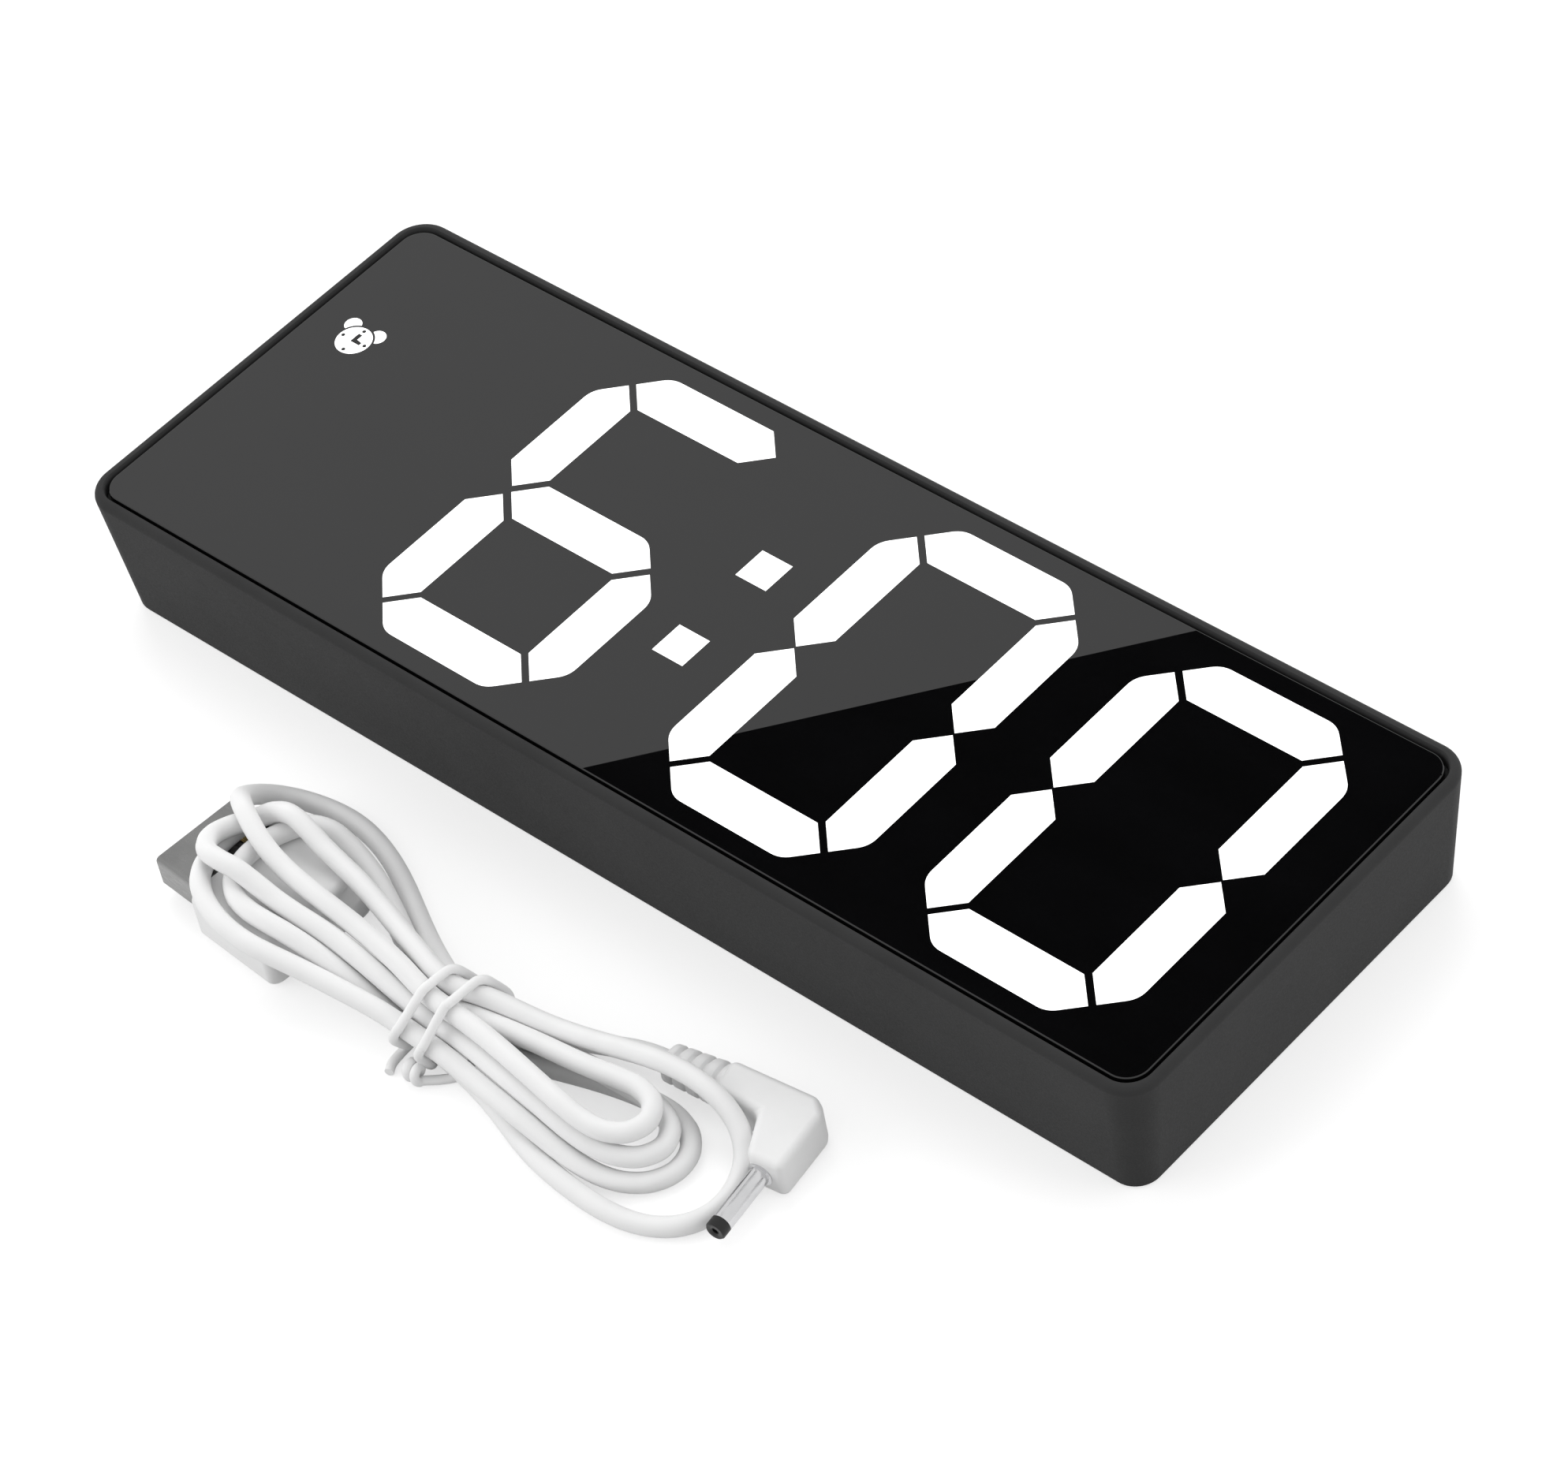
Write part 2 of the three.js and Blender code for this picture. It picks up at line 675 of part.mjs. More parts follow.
// Sizes of the battery bay, shared by its holder, door and opening
const pocketRadius = cellRadius + fitGap;
const holderHalf = pocketRadius + holderWall;
const cellTop = cellBottom + cellTall;
const contactTop = cellTop + contactTall;
const doorTop = doorBottom + doorThick;
const barrelY = -holderHalf - barrelGap - barrelRadius;
const barrelZ = doorBottom + barrelRadius;
const doorEndY = holderHalf + doorOver;
const bayHalfX = holderHalf;
const doorHalfX = bayHalfX - fitGap;
const bayStartY = barrelY - barrelRadius - fitGap;
const bayEndY = doorEndY + fitGap;
const bayX = hourX;

// Rear cover: a flush plate with the battery bay, button dish, jack hole, sound holes, pillars and hinge ears
function rearCover() {
  const edge = bodyRing(0, wall + fitGap);
  let cover = loft([edge, edge.map((p) => new THREE.Vector3(p.x, p.y, coverThick))]);
  const low = -overrun;
  const high = coverThick + overrun;
  for (const side of [-1, 1]) {
    const xs = [bayX + side * bayHalfX, bayX + side * (bayHalfX + earWide)];
    const [left, right] = [Math.min(...xs), Math.max(...xs)];
    const [near, far] = [barrelY - barrelRadius - fitGap, barrelY + barrelRadius + fitGap];
    cover = cover.add(block(left, right, near, far, coverThick / 2, coverThick + earRise));
  }
  const bay = block(bayX - bayHalfX, bayX + bayHalfX, bayStartY, bayEndY, low, coverThick + earRise + overrun);
  const pinReach = bayHalfX + trunnionReach + fitGap;
  const pinHole = rod(
    trunnionRadius + fitGap,
    new THREE.Vector3(bayX - pinReach, barrelY, barrelZ),
    new THREE.Vector3(bayX + pinReach, barrelY, barrelZ),
  );
  cover = cover.subtract(bay).subtract(pinHole);
  const dishHalf = buttonRadius + dishReach;
  for (const side of [-1, 1]) {
    cover = cover.subtract(upright(dishHalf, buttonX + side * buttonPitch, buttonY, low, dishDepth));
  }
  cover = cover.subtract(block(
    buttonX - buttonPitch, buttonX + buttonPitch,
    buttonY - dishHalf, buttonY + dishHalf, low, dishDepth,
  ));
  for (const side of [-1, 0, 1]) {
    cover = cover.subtract(upright(buttonRadius + fitGap, buttonX + side * buttonPitch, buttonY, low, high));
  }
  cover = cover.subtract(upright(jackNose + fitGap, jackX, jackY, low, high));
  cover = cover.subtract(upright(soundHole, buzzerX, buzzerY, low, high));
  for (let hole = 0; hole < soundHoles; hole += 1) {
    const turn = (hole / soundHoles) * 2 * Math.PI;
    const x = buzzerX + soundRing * Math.cos(turn);
    const y = buzzerY + soundRing * Math.sin(turn);
    cover = cover.subtract(upright(soundHole, x, y, low, high));
  }
  const pillarBore = postRadius + fitGap;
  for (const { x, y } of postPlaces) {
    cover = cover.add(upright(pillarBore + pillarWall, x, y, coverThick / 2, boardBottom));
    cover = cover.subtract(upright(pillarBore, x, y, coverThick, boardBottom + overrun));
    cover = cover.subtract(upright(screwRadius + fitGap, x, y, low, high));
    cover = cover.subtract(upright(screwHeadRadius + fitGap, x, y, low, screwHeadSink + screwHeadTall));
  }
  return cover;
}

// A slotted screw with its head sunk in the cover
function screw({ x, y }) {
  const headBottom = screwHeadSink;
  const headTop = screwHeadSink + screwHeadTall;
  const slotHalf = screwSlotWidth / 2;
  const head = upright(screwHeadRadius, x, y, headBottom, headTop);
  const shank = upright(screwRadius, x, y, headBottom + screwSlotDepth, screwReach);
  const slot = block(
    x - screwHeadRadius - overrun, x + screwHeadRadius + overrun,
    y - slotHalf, y + slotHalf, headBottom - overrun, headBottom + screwSlotDepth,
  );
  return head.subtract(slot).add(shank);
}

// Battery door: a plate on a hinge barrel with two trunnions, and a finger grip at its free end
function batteryDoor() {
  const start = bayX - doorHalfX;
  const end = bayX + doorHalfX;
  const plate = block(start, end, barrelY, doorEndY, doorBottom, doorTop);
  const barrel = rod(
    barrelRadius,
    new THREE.Vector3(start, barrelY, barrelZ),
    new THREE.Vector3(end, barrelY, barrelZ),
  );
  const pin = rod(
    trunnionRadius,
    new THREE.Vector3(start - trunnionReach, barrelY, barrelZ),
    new THREE.Vector3(end + trunnionReach, barrelY, barrelZ),
  );
  const gripEnd = doorEndY - gripInset;
  const grip = block(
    bayX - gripWide / 2, bayX + gripWide / 2,
    gripEnd - gripLong, gripEnd, doorBottom - overrun, doorBottom + gripDepth,
  );
  return plate.add(barrel).add(pin).subtract(grip);
}

// Coin cell: a disc with a stepped face towards the door
function coinCell() {
  const can = upright(cellRadius, bayX, 0, cellBottom + cellStepTall, cellTop);
  return can.add(upright(cellRadius - cellStep, bayX, 0, cellBottom, cellTop));
}

// Cell holder: a square block under the board, with a round pocket open to the door
function cellHolder() {
  const holder = block(bayX - holderHalf, bayX + holderHalf, -holderHalf, holderHalf, holderBottom, boardBottom);
  return holder.subtract(upright(pocketRadius, bayX, 0, holderBottom - overrun, contactTop));
}

// Cell contact: a spring strip between the cell and the pocket's floor
function cellContact() {
  const half = contactWidth / 2;
  const reach = cellRadius - half;
  return block(bayX - half, bayX + half, -reach, reach, cellTop, contactTop);
}

// Power jack: a block standing through the board, with a round nose in the cover and a bore open to the back
function powerJack() {
  const half = jackSide / 2;
  const noseTop = coverThick + fitGap;
  const jackTop = boardTop + jackRise;
  const bodyBlock = block(jackX - half, jackX + half, jackY - half, jackY + half, noseTop, jackTop);
  const nose = upright(jackNose, jackX, jackY, jackNoseBottom, jackTop - wall);
  const bore = upright(jackBore, jackX, jackY, jackNoseBottom - overrun, jackNoseBottom + jackBoreDeep);
  return bodyBlock.add(nose).subtract(bore);
}

// Heights of a rear button's pieces, from its cap up to its switch
const capTop = coverThick + fitGap;
const stemBottom = capTop + flangeThick;
const plungerBottom = stemBottom + stemTall;
const plungerTop = plungerBottom + plungerTall;
const switchBottom = plungerBottom + switchStand;

// A rear button: cap, flange behind the cover and stem
function rearButton(x) {
  const cap = upright(buttonRadius, x, buttonY, buttonTop, capTop + flangeThick / 2);
  const flange = upright(buttonRadius + flangeReach, x, buttonY, capTop, stemBottom);
  return cap.add(flange).add(upright(stemRadius, x, buttonY, stemBottom - flangeThick / 2, plungerBottom));
}

// The fixed body of a rear button's switch, with a cavity for its plunger
function rearSwitch(x) {
  const half = switchSide / 2;
  const cavityTop = plungerTop + pressTravel + switchSpare;
  const box = block(x - half, x + half, buttonY - half, buttonY + half, switchBottom, boardBottom);
  return box.subtract(upright(plungerRadius + fitGap, x, buttonY, switchBottom - overrun, cavityTop));
}

// Snooze bar: a long key in the top side with a flange inside the wall
const snoozeRodZ = boardBottom - snoozePlungerDrop;
const snoozePlungerBack = snoozeFlangeY - snoozePlungerLong;
const snoozeSwitchBack = snoozePlungerBack - pressTravel - switchSpare - wall;
function snoozeBar() {
  const half = snoozeLong / 2;
  const reach = snoozeFlangeReach;
  const key = block(colonX - half, colonX + half, snoozeFlangeY, snoozeOut, snoozeBottom, snoozeTop);
  const flange = block(
    colonX - half - reach, colonX + half + reach,
    snoozeFlangeY, snoozeFlangeY + snoozeFlangeThick,
    snoozeBottom - reach, snoozeTop + reach - fitGap,
  );
  return key.add(flange);
}

// A rod along Y behind the snooze bar
function snoozeRod(radius, y0, y1) {
  const at = (y) => new THREE.Vector3(colonX, y, snoozeRodZ);
  return rod(radius, at(y0), at(y1));
}

// The fixed body of the snooze bar's switch
function snoozeSwitch() {
  const half = switchSide / 2;
  const front = snoozeSwitchBack + snoozeSwitchDeep;
  const foot = snoozeRodZ - snoozeSwitchFoot;
  const box = block(colonX - half, colonX + half, snoozeSwitchBack, front, foot, boardBottom);
  const back = snoozePlungerBack - pressTravel - switchSpare;
  return box.subtract(snoozeRod(snoozePlungerRadius + fitGap, back, front + overrun));
}

piece("front_housing", frontHousing(), "housing");
piece("mirror_panel", mirrorPanel(), "mirror");
piece("light_box", lightBox(), "reflector");
for (const figure of figures) piece(figure.name, figureGuide(figure), figure.lit ? "litGuide" : "darkGuide");
piece("colon_guide", colonGuide(), "litGuide");
piece("alarm_icon_guide", signGuide(), "litGuide");
piece("display_board", displayBoard(), "board");
piece("rear_cover", rearCover(), "housing");
postPlaces.forEach((place, i) => piece(`screw_${i + 1}`, screw(place), "steel"));
piece("battery_door", batteryDoor(), "housing");
piece("coin_cell", coinCell(), "cell");
piece("cell_holder", cellHolder(), "blackPlastic");
piece("cell_contact", cellContact(), "steel");
piece("dc_jack", powerJack(), "blackPlastic");
piece("buzzer", upright(buzzerRadius, buzzerX, buzzerY, boardBottom - buzzerTall, boardBottom), "blackPlastic");
piece(
  "controller_chip",
  block(
    controllerX - controllerLong / 2, controllerX + controllerLong / 2,
    -controllerWide / 2, controllerWide / 2, boardBottom - controllerTall, boardBottom,
  ),
  "blackPlastic",
);
["mode", "up", "down"].forEach((name, i) => {
  const x = buttonX + (i - 1) * buttonPitch;
  piece(`${name}_button`, rearButton(x), "button");
  piece(`${name}_plunger`, upright(plungerRadius, x, buttonY, plungerBottom, plungerTop), "plunger");
  piece(`${name}_switch`, rearSwitch(x), "blackPlastic");
});
piece("snooze_bar", snoozeBar(), "button");
piece("snooze_plunger", snoozeRod(snoozePlungerRadius, snoozePlungerBack, snoozeFlangeY), "plunger");
piece("snooze_switch", snoozeSwitch(), "blackPlastic");

// The cord's hank, in a frame of its own: its waist is at the origin and its runs lie along X.
const cordDiameter = 2 * cordRadius;
const turnPitch = cordDiameter + cordGap;
const layerPitch = cordDiameter + layerGap;
const waistHalf = turnPitch * (hankLoops + 1 / 2) / 2;
const tieLift = 2 * tieRadius + tieGap;
const lobeLift = usbBodyTall + cordGap;
const leftCentre = leftApexX + leftLobeHalf - waistX;
const rightCentre = rightApexX - rightLobeHalf - waistX;
const hank = new THREE.Group();
hank.position.set(waistX, hankY, 0);
hank.rotation.z = hankLean * degrees;
clock.add(hank);

// How far a turn lies inside the outermost one: the spiral goes in for half of the loops and out again.
function turnInset(turn) {
  return turnPitch * Math.min(turn, hankLoops - turn);
}

// How high a turn's layer lies: it climbs in the half turn where the spiral reverses.
function turnLayer(turn) {
  const climb = THREE.MathUtils.clamp((turn - (hankLoops / 2 - 1 / 4)) * 2, 0, 1);
  return climb * (hankLayers - 1) * layerPitch;
}

// How high the hank's lowest strand is carried, off the tie at the waist and over the plug at the left.
function liftAt(x) {
  const share = THREE.MathUtils.clamp((Math.abs(x) - waistFlat) / (liftRun - waistFlat), 0, 1);
  return THREE.MathUtils.lerp(tieLift, x < 0 ? lobeLift : 0, share);
}

// The half width of the outermost turn, drawn in at the waist.
function halfAt(x) {
  const lobe = x < 0 ? leftLobeHalf : rightLobeHalf;
  const centre = x < 0 ? -leftCentre : rightCentre;
  return THREE.MathUtils.lerp(waistHalf, lobe, THREE.MathUtils.smoothstep(Math.abs(x), waistFlat, centre));
}

// The steps of one loop: where each lies along X and, as a share of the half width, along Y.
function loopSteps() {
  const steps = [];
  for (const end of [1, -1]) {
    const centre = end > 0 ? rightCentre : -leftCentre;
    const stations = [0, waistFlat, liftRun, centre];
    for (let k = 0; k < runSteps; k += 1) steps.push({ x: end * stations[k], side: end, bulge: 0 });
    for (let k = 0; k < lobeSteps; k += 1) {
      const turn = (k / lobeSteps) * Math.PI;
      steps.push({ x: end * centre, side: end * Math.cos(turn), bulge: end * Math.sin(turn) });
    }
    for (let k = runSteps; k > 0; k -= 1) steps.push({ x: end * stations[k], side: -end, bulge: 0 });
  }
  return steps;
}

// The hank's centre line, one unbroken run through all its turns with a straight piece at each end.
function hankLine() {
  const steps = loopSteps();
  const line = [];
  for (let count = 0; count <= hankLoops * steps.length; count += 1) {
    const { x, side, bulge } = steps[count % steps.length];
    const turn = count / steps.length;
    const inset = turnInset(turn);
    const half = halfAt(x) - inset;
    const z = cordRadius + liftAt(x) + turnLayer(turn);
    line.push(new THREE.Vector3(x + bulge * half, side * half, z));
  }
  const last = line[line.length - 1];
  line.push(last.clone().setX(last.x + cordDiameter));
  line[1].set(cordDiameter, line[0].y, line[0].z);
  return line;
}

// The least gap of a tube to itself, between points that lie well apart along it.
function leastGap(line, radius, apart) {
  const curve = [];
  let run = 0;
  for (let i = 1; i < line.length; i += 1) {
    const length = line[i].distanceTo(line[i - 1]);
    const parts = Math.ceil(length / radius);
    for (let k = 0; k < parts; k += 1) {
      const share = k / parts;
      curve.push({ at: line[i - 1].clone().lerp(line[i], share), run: run + share * length });
    }
    run += length;
  }
  let least = Infinity;
  for (const a of curve) {
    for (const b of curve) {
      if (b.run - a.run > apart) least = Math.min(least, a.at.distanceTo(b.at));
    }
  }
  return { gap: least - 2 * radius, length: run };
}

const hankPoints = hankLine();
const hankCheck = leastGap(hankPoints, cordRadius, Math.PI * cordDiameter);
console.log(`hank: least gap to itself ${hankCheck.gap.toFixed(2)} mm, length ${hankCheck.length.toFixed(0)} mm`);
piece("cord_hank", wound(hankPoints, cordRadius, hankSides), "whiteCord", hank);

// Tie: a thin tube wound round the waist's corner strands, its two ends left sticking out at the near side
function tieLine() {
  const reach = cordRadius + tieGap + tieRadius;
  const lowZ = cordRadius + tieLift;
  const highZ = lowZ + (hankLayers - 1) * layerPitch;
  const nearY = -(waistHalf - turnPitch / 2);
  const corners = [
    { y: nearY, z: lowZ, turn: 1.5 },
    { y: waistHalf, z: lowZ, turn: 2 },
    { y: waistHalf, z: highZ, turn: 2.5 },
    { y: nearY, z: highZ, turn: 3 },
  ];
  const points = [];
  const total = corners.length * tieWraps;
  for (let count = 0; count <= total; count += 1) {
    const corner = corners[count % corners.length];
    const bends = count === 0 ? [1] : count === total ? [0] : [0, 0.5, 1];
    for (const bend of bends) {
      const angle = (corner.turn + bend / 2 - 0.5) * Math.PI;
      const x = ((count + bend - 0.5) / total - 0.5) * tiePitch * tieWraps;
      points.push(new THREE.Vector3(x, corner.y + reach * Math.cos(angle), corner.z + reach * Math.sin(angle)));
    }
  }
  return points;
}
piece("cord_tie", wound(tieLine(), tieRadius, hankSides), "whiteCord", hank);

// Flat plug: a moulded body, a metal shell and its tongue, in a frame whose +X runs down the cord
const usb = new THREE.Group();
usb.position.set(usbX, usbY, 0);
usb.rotation.z = usbLean * degrees;
clock.add(usb);
const usbAxisZ = usbBodyTall / 2;
const shellBack = -usbBodyLong;
const shellMouth = shellBack - usbShellLong;

// The plug's moulded body, rounded along its length.
function usbBody() {
  const settings = { depth: usbBodyLong, bevelEnabled: false, curveSegments: arcSteps };
  const half = usbBodyWide / 2;
  const ends = [[-half, 0], [half, 0], [half, usbBodyTall], [-half, usbBodyTall]];
  const corners = ends.map(([y, z]) => ({ at: new THREE.Vector2(y, z), round: true }));
  const geometry = new THREE.ExtrudeGeometry(roundedShape(corners, usbBodyRound), settings);
  const upAndAlong = new THREE.Matrix4().makeBasis(
    new THREE.Vector3(0, 1, 0),
    new THREE.Vector3(0, 0, 1),
    new THREE.Vector3(1, 0, 0),
  );
  return solid(geometry.applyMatrix4(upAndAlong).translate(shellBack, 0, 0));
}

// The plug's shell: a flat tube open at its mouth, with two latch holes in each broad side.
function usbShell() {
  const halfY = usbShellWide / 2;
  const halfZ = usbShellTall / 2;
  const inY = halfY - usbShellWall;
  const inZ = halfZ - usbShellWall;
  let shell = block(shellMouth, shellBack, -halfY, halfY, usbAxisZ - halfZ, usbAxisZ + halfZ);
  shell = shell.subtract(
    block(shellMouth - overrun, shellBack - usbShellWall, -inY, inY, usbAxisZ - inZ, usbAxisZ + inZ),
  );
  const hole = usbHoleSide / 2;
  const x = shellMouth + usbHoleX;
  for (const side of [-1, 1]) {
    const y = side * usbHoleY;
    const [low, high] = [usbAxisZ - halfZ - overrun, usbAxisZ + halfZ + overrun];
    shell = shell.subtract(block(x - hole, x + hole, y - hole, y + hole, low, high));
  }
  return shell;
}

piece("usb_body", usbBody(), "whiteCord", usb);
piece("usb_shell", usbShell(), "steel", usb);
const tongueLow = usbAxisZ - usbShellTall / 2 + usbShellWall;
piece(
  "usb_tongue",
  block(
    shellMouth + usbTongueSink, shellBack - usbShellWall,
    -usbTongueWide / 2, usbTongueWide / 2, tongueLow, tongueLow + usbTongueTall,
  ),
  "plunger",
  usb,
);

// Right-angle plug: a ribbed relief on the cord, a wedge-shaped body and a barrel across its end
const plugAxisZ = plugTall / 2;
const plug = new THREE.Group();
plug.position.set(plugX, plugY, 0);
plug.rotation.z = plugLean * degrees;
clock.add(plug);

// The relief's turned profile, with grooves between its ribs, along +X.
function reliefSolid() {
  const rings = 2 * reliefRibs;
  const profile = [new THREE.Vector2(0, 0)];
  for (let ring = 0; ring <= rings; ring += 1) {
    const share = ring / rings;
    const radius = reliefTipRadius + (reliefRootRadius - reliefTipRadius) * share;
    const cut = ring % 2 === 1 ? reliefRibDepth : 0;
    profile.push(new THREE.Vector2(radius - cut, reliefLong * share));
  }
  profile.push(new THREE.Vector2(reliefTipRadius, reliefLong + overrun));
  profile.push(new THREE.Vector2(0, reliefLong + overrun));
  const turned = new THREE.LatheGeometry(profile, roundSides / 2);
  return solid(turned.rotateZ(-Math.PI / 2).translate(0, 0, plugAxisZ));
}

// The plug's body in plan, drawn round its axis.
function plugBody() {
  const outline = [
    [reliefLong, -plugHalf],
    [reliefLong + plugNeckLong, -plugShoulder],
    [plugLong - plugNearWide, -plugNear],
    [plugLong, -plugNear],
    [plugLong, plugHalf - plugCut],
    [plugLong - plugCut, plugHalf],
    [reliefLong, plugHalf],
  ];
  const corners = outline.map(([x, y]) => ({ at: new THREE.Vector2(x, y), round: x > reliefLong }));
  return prism(roundedShape(corners, plugRound), 0, plugTall).add(reliefSolid());
}

// A rod along the plug's barrel, between two distances from the body's near end.
function barrelRod(radius, start, end) {
  const at = (run) => new THREE.Vector3(plugLong - barrelInset, -plugNear - run, plugAxisZ);
  return rod(radius, at(start), at(end));
}
const barrelEnd = plugBarrelLong + barrelTipLong;
const barrelBore = barrelRod(plugBarrelBore, barrelEnd - barrelBoreDeep, barrelEnd + overrun);
piece("dc_plug_body", plugBody(), "whiteCord", plug);
piece("dc_barrel", barrelRod(plugBarrelRadius, 0, plugBarrelLong).subtract(barrelBore), "steel", plug);
piece(
  "dc_barrel_tip",
  barrelRod(plugBarrelRadius, plugBarrelLong, barrelEnd).subtract(barrelBore),
  "blackPlastic",
  plug,
);

// Free ends of the cord, from the hank to each plug. Their bends are points chosen by hand.
const usbTailBends = [
  [-6.0, -48.7, 1.6],
  [-9.0, -50.4, 1.5],
  [-12.0, -52.7, 2.3],
];
const dcTailBends = [
  [13.0, -47.6, 5.2],
  [18.5, -46.0, 4.3],
];

// A tube that runs straight out of one end, through its bends and straight into the other.
function cordTail(from, fromAlong, bends, to, toAlong) {
  const straight = (point, along, run) => point.clone().addScaledVector(along, run);
  const points = [
    straight(from, fromAlong, fitGap),
    straight(from, fromAlong, fitGap + cordRadius),
    straight(from, fromAlong, fitGap + cordDiameter),
    ...bends.map(([x, y, z]) => new THREE.Vector3(x, y, z)),
    straight(to, toAlong, fitGap + cordDiameter),
    straight(to, toAlong, fitGap + cordRadius),
    straight(to, toAlong, fitGap),
  ];
  const section = new THREE.Shape();
  for (let k = 0; k < tailSides; k += 1) {
    const turn = (k / tailSides) * 2 * Math.PI;
    const [x, y] = [cordRadius * Math.cos(turn), cordRadius * Math.sin(turn)];
    if (k === 0) section.moveTo(x, y);
    else section.lineTo(x, y);
  }
  section.closePath();
  const extrudePath = new THREE.CatmullRomCurve3(points, false, "centripetal");
  return solid(new THREE.ExtrudeGeometry(section, { steps: tailSteps, extrudePath }));
}

clock.updateMatrixWorld(true);
const alongHank = new THREE.Vector3(1, 0, 0).transformDirection(hank.matrixWorld);
const alongUsb = new THREE.Vector3(1, 0, 0).transformDirection(usb.matrixWorld);
const hankStart = hank.localToWorld(hankPoints[0].clone());
const hankEnd = hank.localToWorld(hankPoints[hankPoints.length - 1].clone());
const usbEnd = usb.localToWorld(new THREE.Vector3(0, 0, usbAxisZ));
const alongPlug = new THREE.Vector3(1, 0, 0).transformDirection(plug.matrixWorld);
const reliefEnd = plug.localToWorld(new THREE.Vector3(0, 0, plugAxisZ));
const usbTail = cordTail(hankStart, alongHank.clone().negate(), usbTailBends, usbEnd, alongUsb);
const dcTail = cordTail(hankEnd, alongHank, dcTailBends, reliefEnd, alongPlug.negate());
piece("cord_usb_tail", usbTail, "whiteCord");
piece("cord_dc_tail", dcTail, "whiteCord");

export default clock;
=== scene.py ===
"""A digital alarm clock with a mirror face and white figures, and the tied cord that lies beside it.

Lengths are millimetres in the clock's own frame: X runs along the row of figures, Y to their tops and Z out
of the face. The back lies at z = 0. Blender gets them in metres.
"""
import logging
import math
from dataclasses import dataclass
from enum import Enum
from typing import Iterable, Sequence

import bmesh
import bpy
import numpy as np
from mathutils import Matrix, Vector


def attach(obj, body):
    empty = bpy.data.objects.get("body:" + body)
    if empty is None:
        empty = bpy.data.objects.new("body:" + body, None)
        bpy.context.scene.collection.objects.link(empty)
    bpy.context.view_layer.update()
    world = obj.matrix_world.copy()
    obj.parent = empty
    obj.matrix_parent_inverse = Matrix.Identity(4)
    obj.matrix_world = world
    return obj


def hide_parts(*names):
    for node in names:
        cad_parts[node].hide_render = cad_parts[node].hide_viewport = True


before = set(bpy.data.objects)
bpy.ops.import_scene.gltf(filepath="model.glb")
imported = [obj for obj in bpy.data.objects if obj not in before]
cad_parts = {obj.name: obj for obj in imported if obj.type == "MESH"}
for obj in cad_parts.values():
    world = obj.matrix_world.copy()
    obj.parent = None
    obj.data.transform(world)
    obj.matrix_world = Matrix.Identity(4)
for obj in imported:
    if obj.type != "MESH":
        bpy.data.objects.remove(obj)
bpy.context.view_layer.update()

LOG = logging.getLogger("alarm_clock")
MM = 0.001
TAU = 2 * math.pi
# The gap between parts that fit together, the one between cords and the floor, and the least radius
FIT_GAP = 0.3
FLOOR_GAP = 0.02
LEAST_RADIUS = 0.001
# Where each plug's cord end lies, and by how many degrees the plug is turned
FLAT_AT, FLAT_LEAN = (-18.5, -53.6), -4
ANGLED_AT, ANGLED_LEAN = (26.3, -44.4), 8

Point = tuple[float, float, float]
Flat = tuple[float, float]
Ring = list[Point]
Piece = bpy.types.Object
Material = bpy.types.Material
Tree = bpy.types.NodeTree
Socket = bpy.types.NodeSocket


class Body(str, Enum):
    """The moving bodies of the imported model."""

    CLOCK = "clock"
    DOOR = "door"
    MODE = "mode"
    UP = "up"
    DOWN = "down"
    SNOOZE = "snooze"


class Slot(str, Enum):
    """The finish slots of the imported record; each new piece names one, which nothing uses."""

    HOUSING = "housing"
    MIRROR = "mirror"
    LIT_GUIDE = "lit_guide"
    STEEL = "steel"
    PLUG_METAL = "plug_metal"
    BLACK_PLASTIC = "black_plastic"
    BUTTON = "button"
    WHITE_CORD = "white_cord"


class Cut(str, Enum):
    """The ways in which solids are carved into one another."""

    AWAY = "DIFFERENCE"
    ONTO = "UNION"


class Ray(str, Enum):
    """The kinds of ray that see the backdrop as white, as the light path node names them."""

    CAMERA = "Is Camera Ray"
    GLOSSY = "Is Glossy Ray"
    TRANSMISSION = "Is Transmission Ray"


@dataclass(frozen=True)
class Shell:
    """The outer form shared by the housing, the cover and the mirror panel."""

    length: float = 160
    width: float = 58
    depth: float = 18
    end_taper: float = 2.2
    side_taper: float = 1.2
    wall: float = 1.8
    front_corner: float = 4.4
    back_corner: float = 3.2
    rim_round: float = 1
    rim_inset: float = 1.25
    recess_inset: float = 1.45
    slope_depth: float = 0.7
    back_chamfer: float = 0.4
    panel_top: float = 17.8
    panel_bottom: float = 16.3
    ledge_bottom: float = 15.1
    ledge_reach: float = 1.2
    corner_steps: int = 14

    def ring(self, z: float, inset: float) -> Ring:
        """The housing's outline at a height, brought in by an inset.

        Args:
            z: The height.
            inset: How far the outline is brought in.

        Returns:
            The ring's points, anticlockwise seen from the face.
        """
        share = z / self.depth
        half_x = self.length / 2 - self.end_taper * (1 - share) - inset
        half_y = self.width / 2 - self.side_taper * (1 - share) - inset
        corner = self.back_corner + (self.front_corner - self.back_corner) * share
        return rounded_ring(half_x, half_y, max(corner - inset, self.back_chamfer), z, self.corner_steps)

    def level(self, inset: float, z: float, corner: float) -> Ring:
        """A ring parallel to the face's outline at a height.

        Args:
            inset: How far it lies inside the face's outline.
            z: The height.
            corner: Its corner radius.

        Returns:
            The ring's points.
        """
        half_x, half_y = self.length / 2 - inset, self.width / 2 - inset
        return rounded_ring(half_x, half_y, corner, z, self.corner_steps)


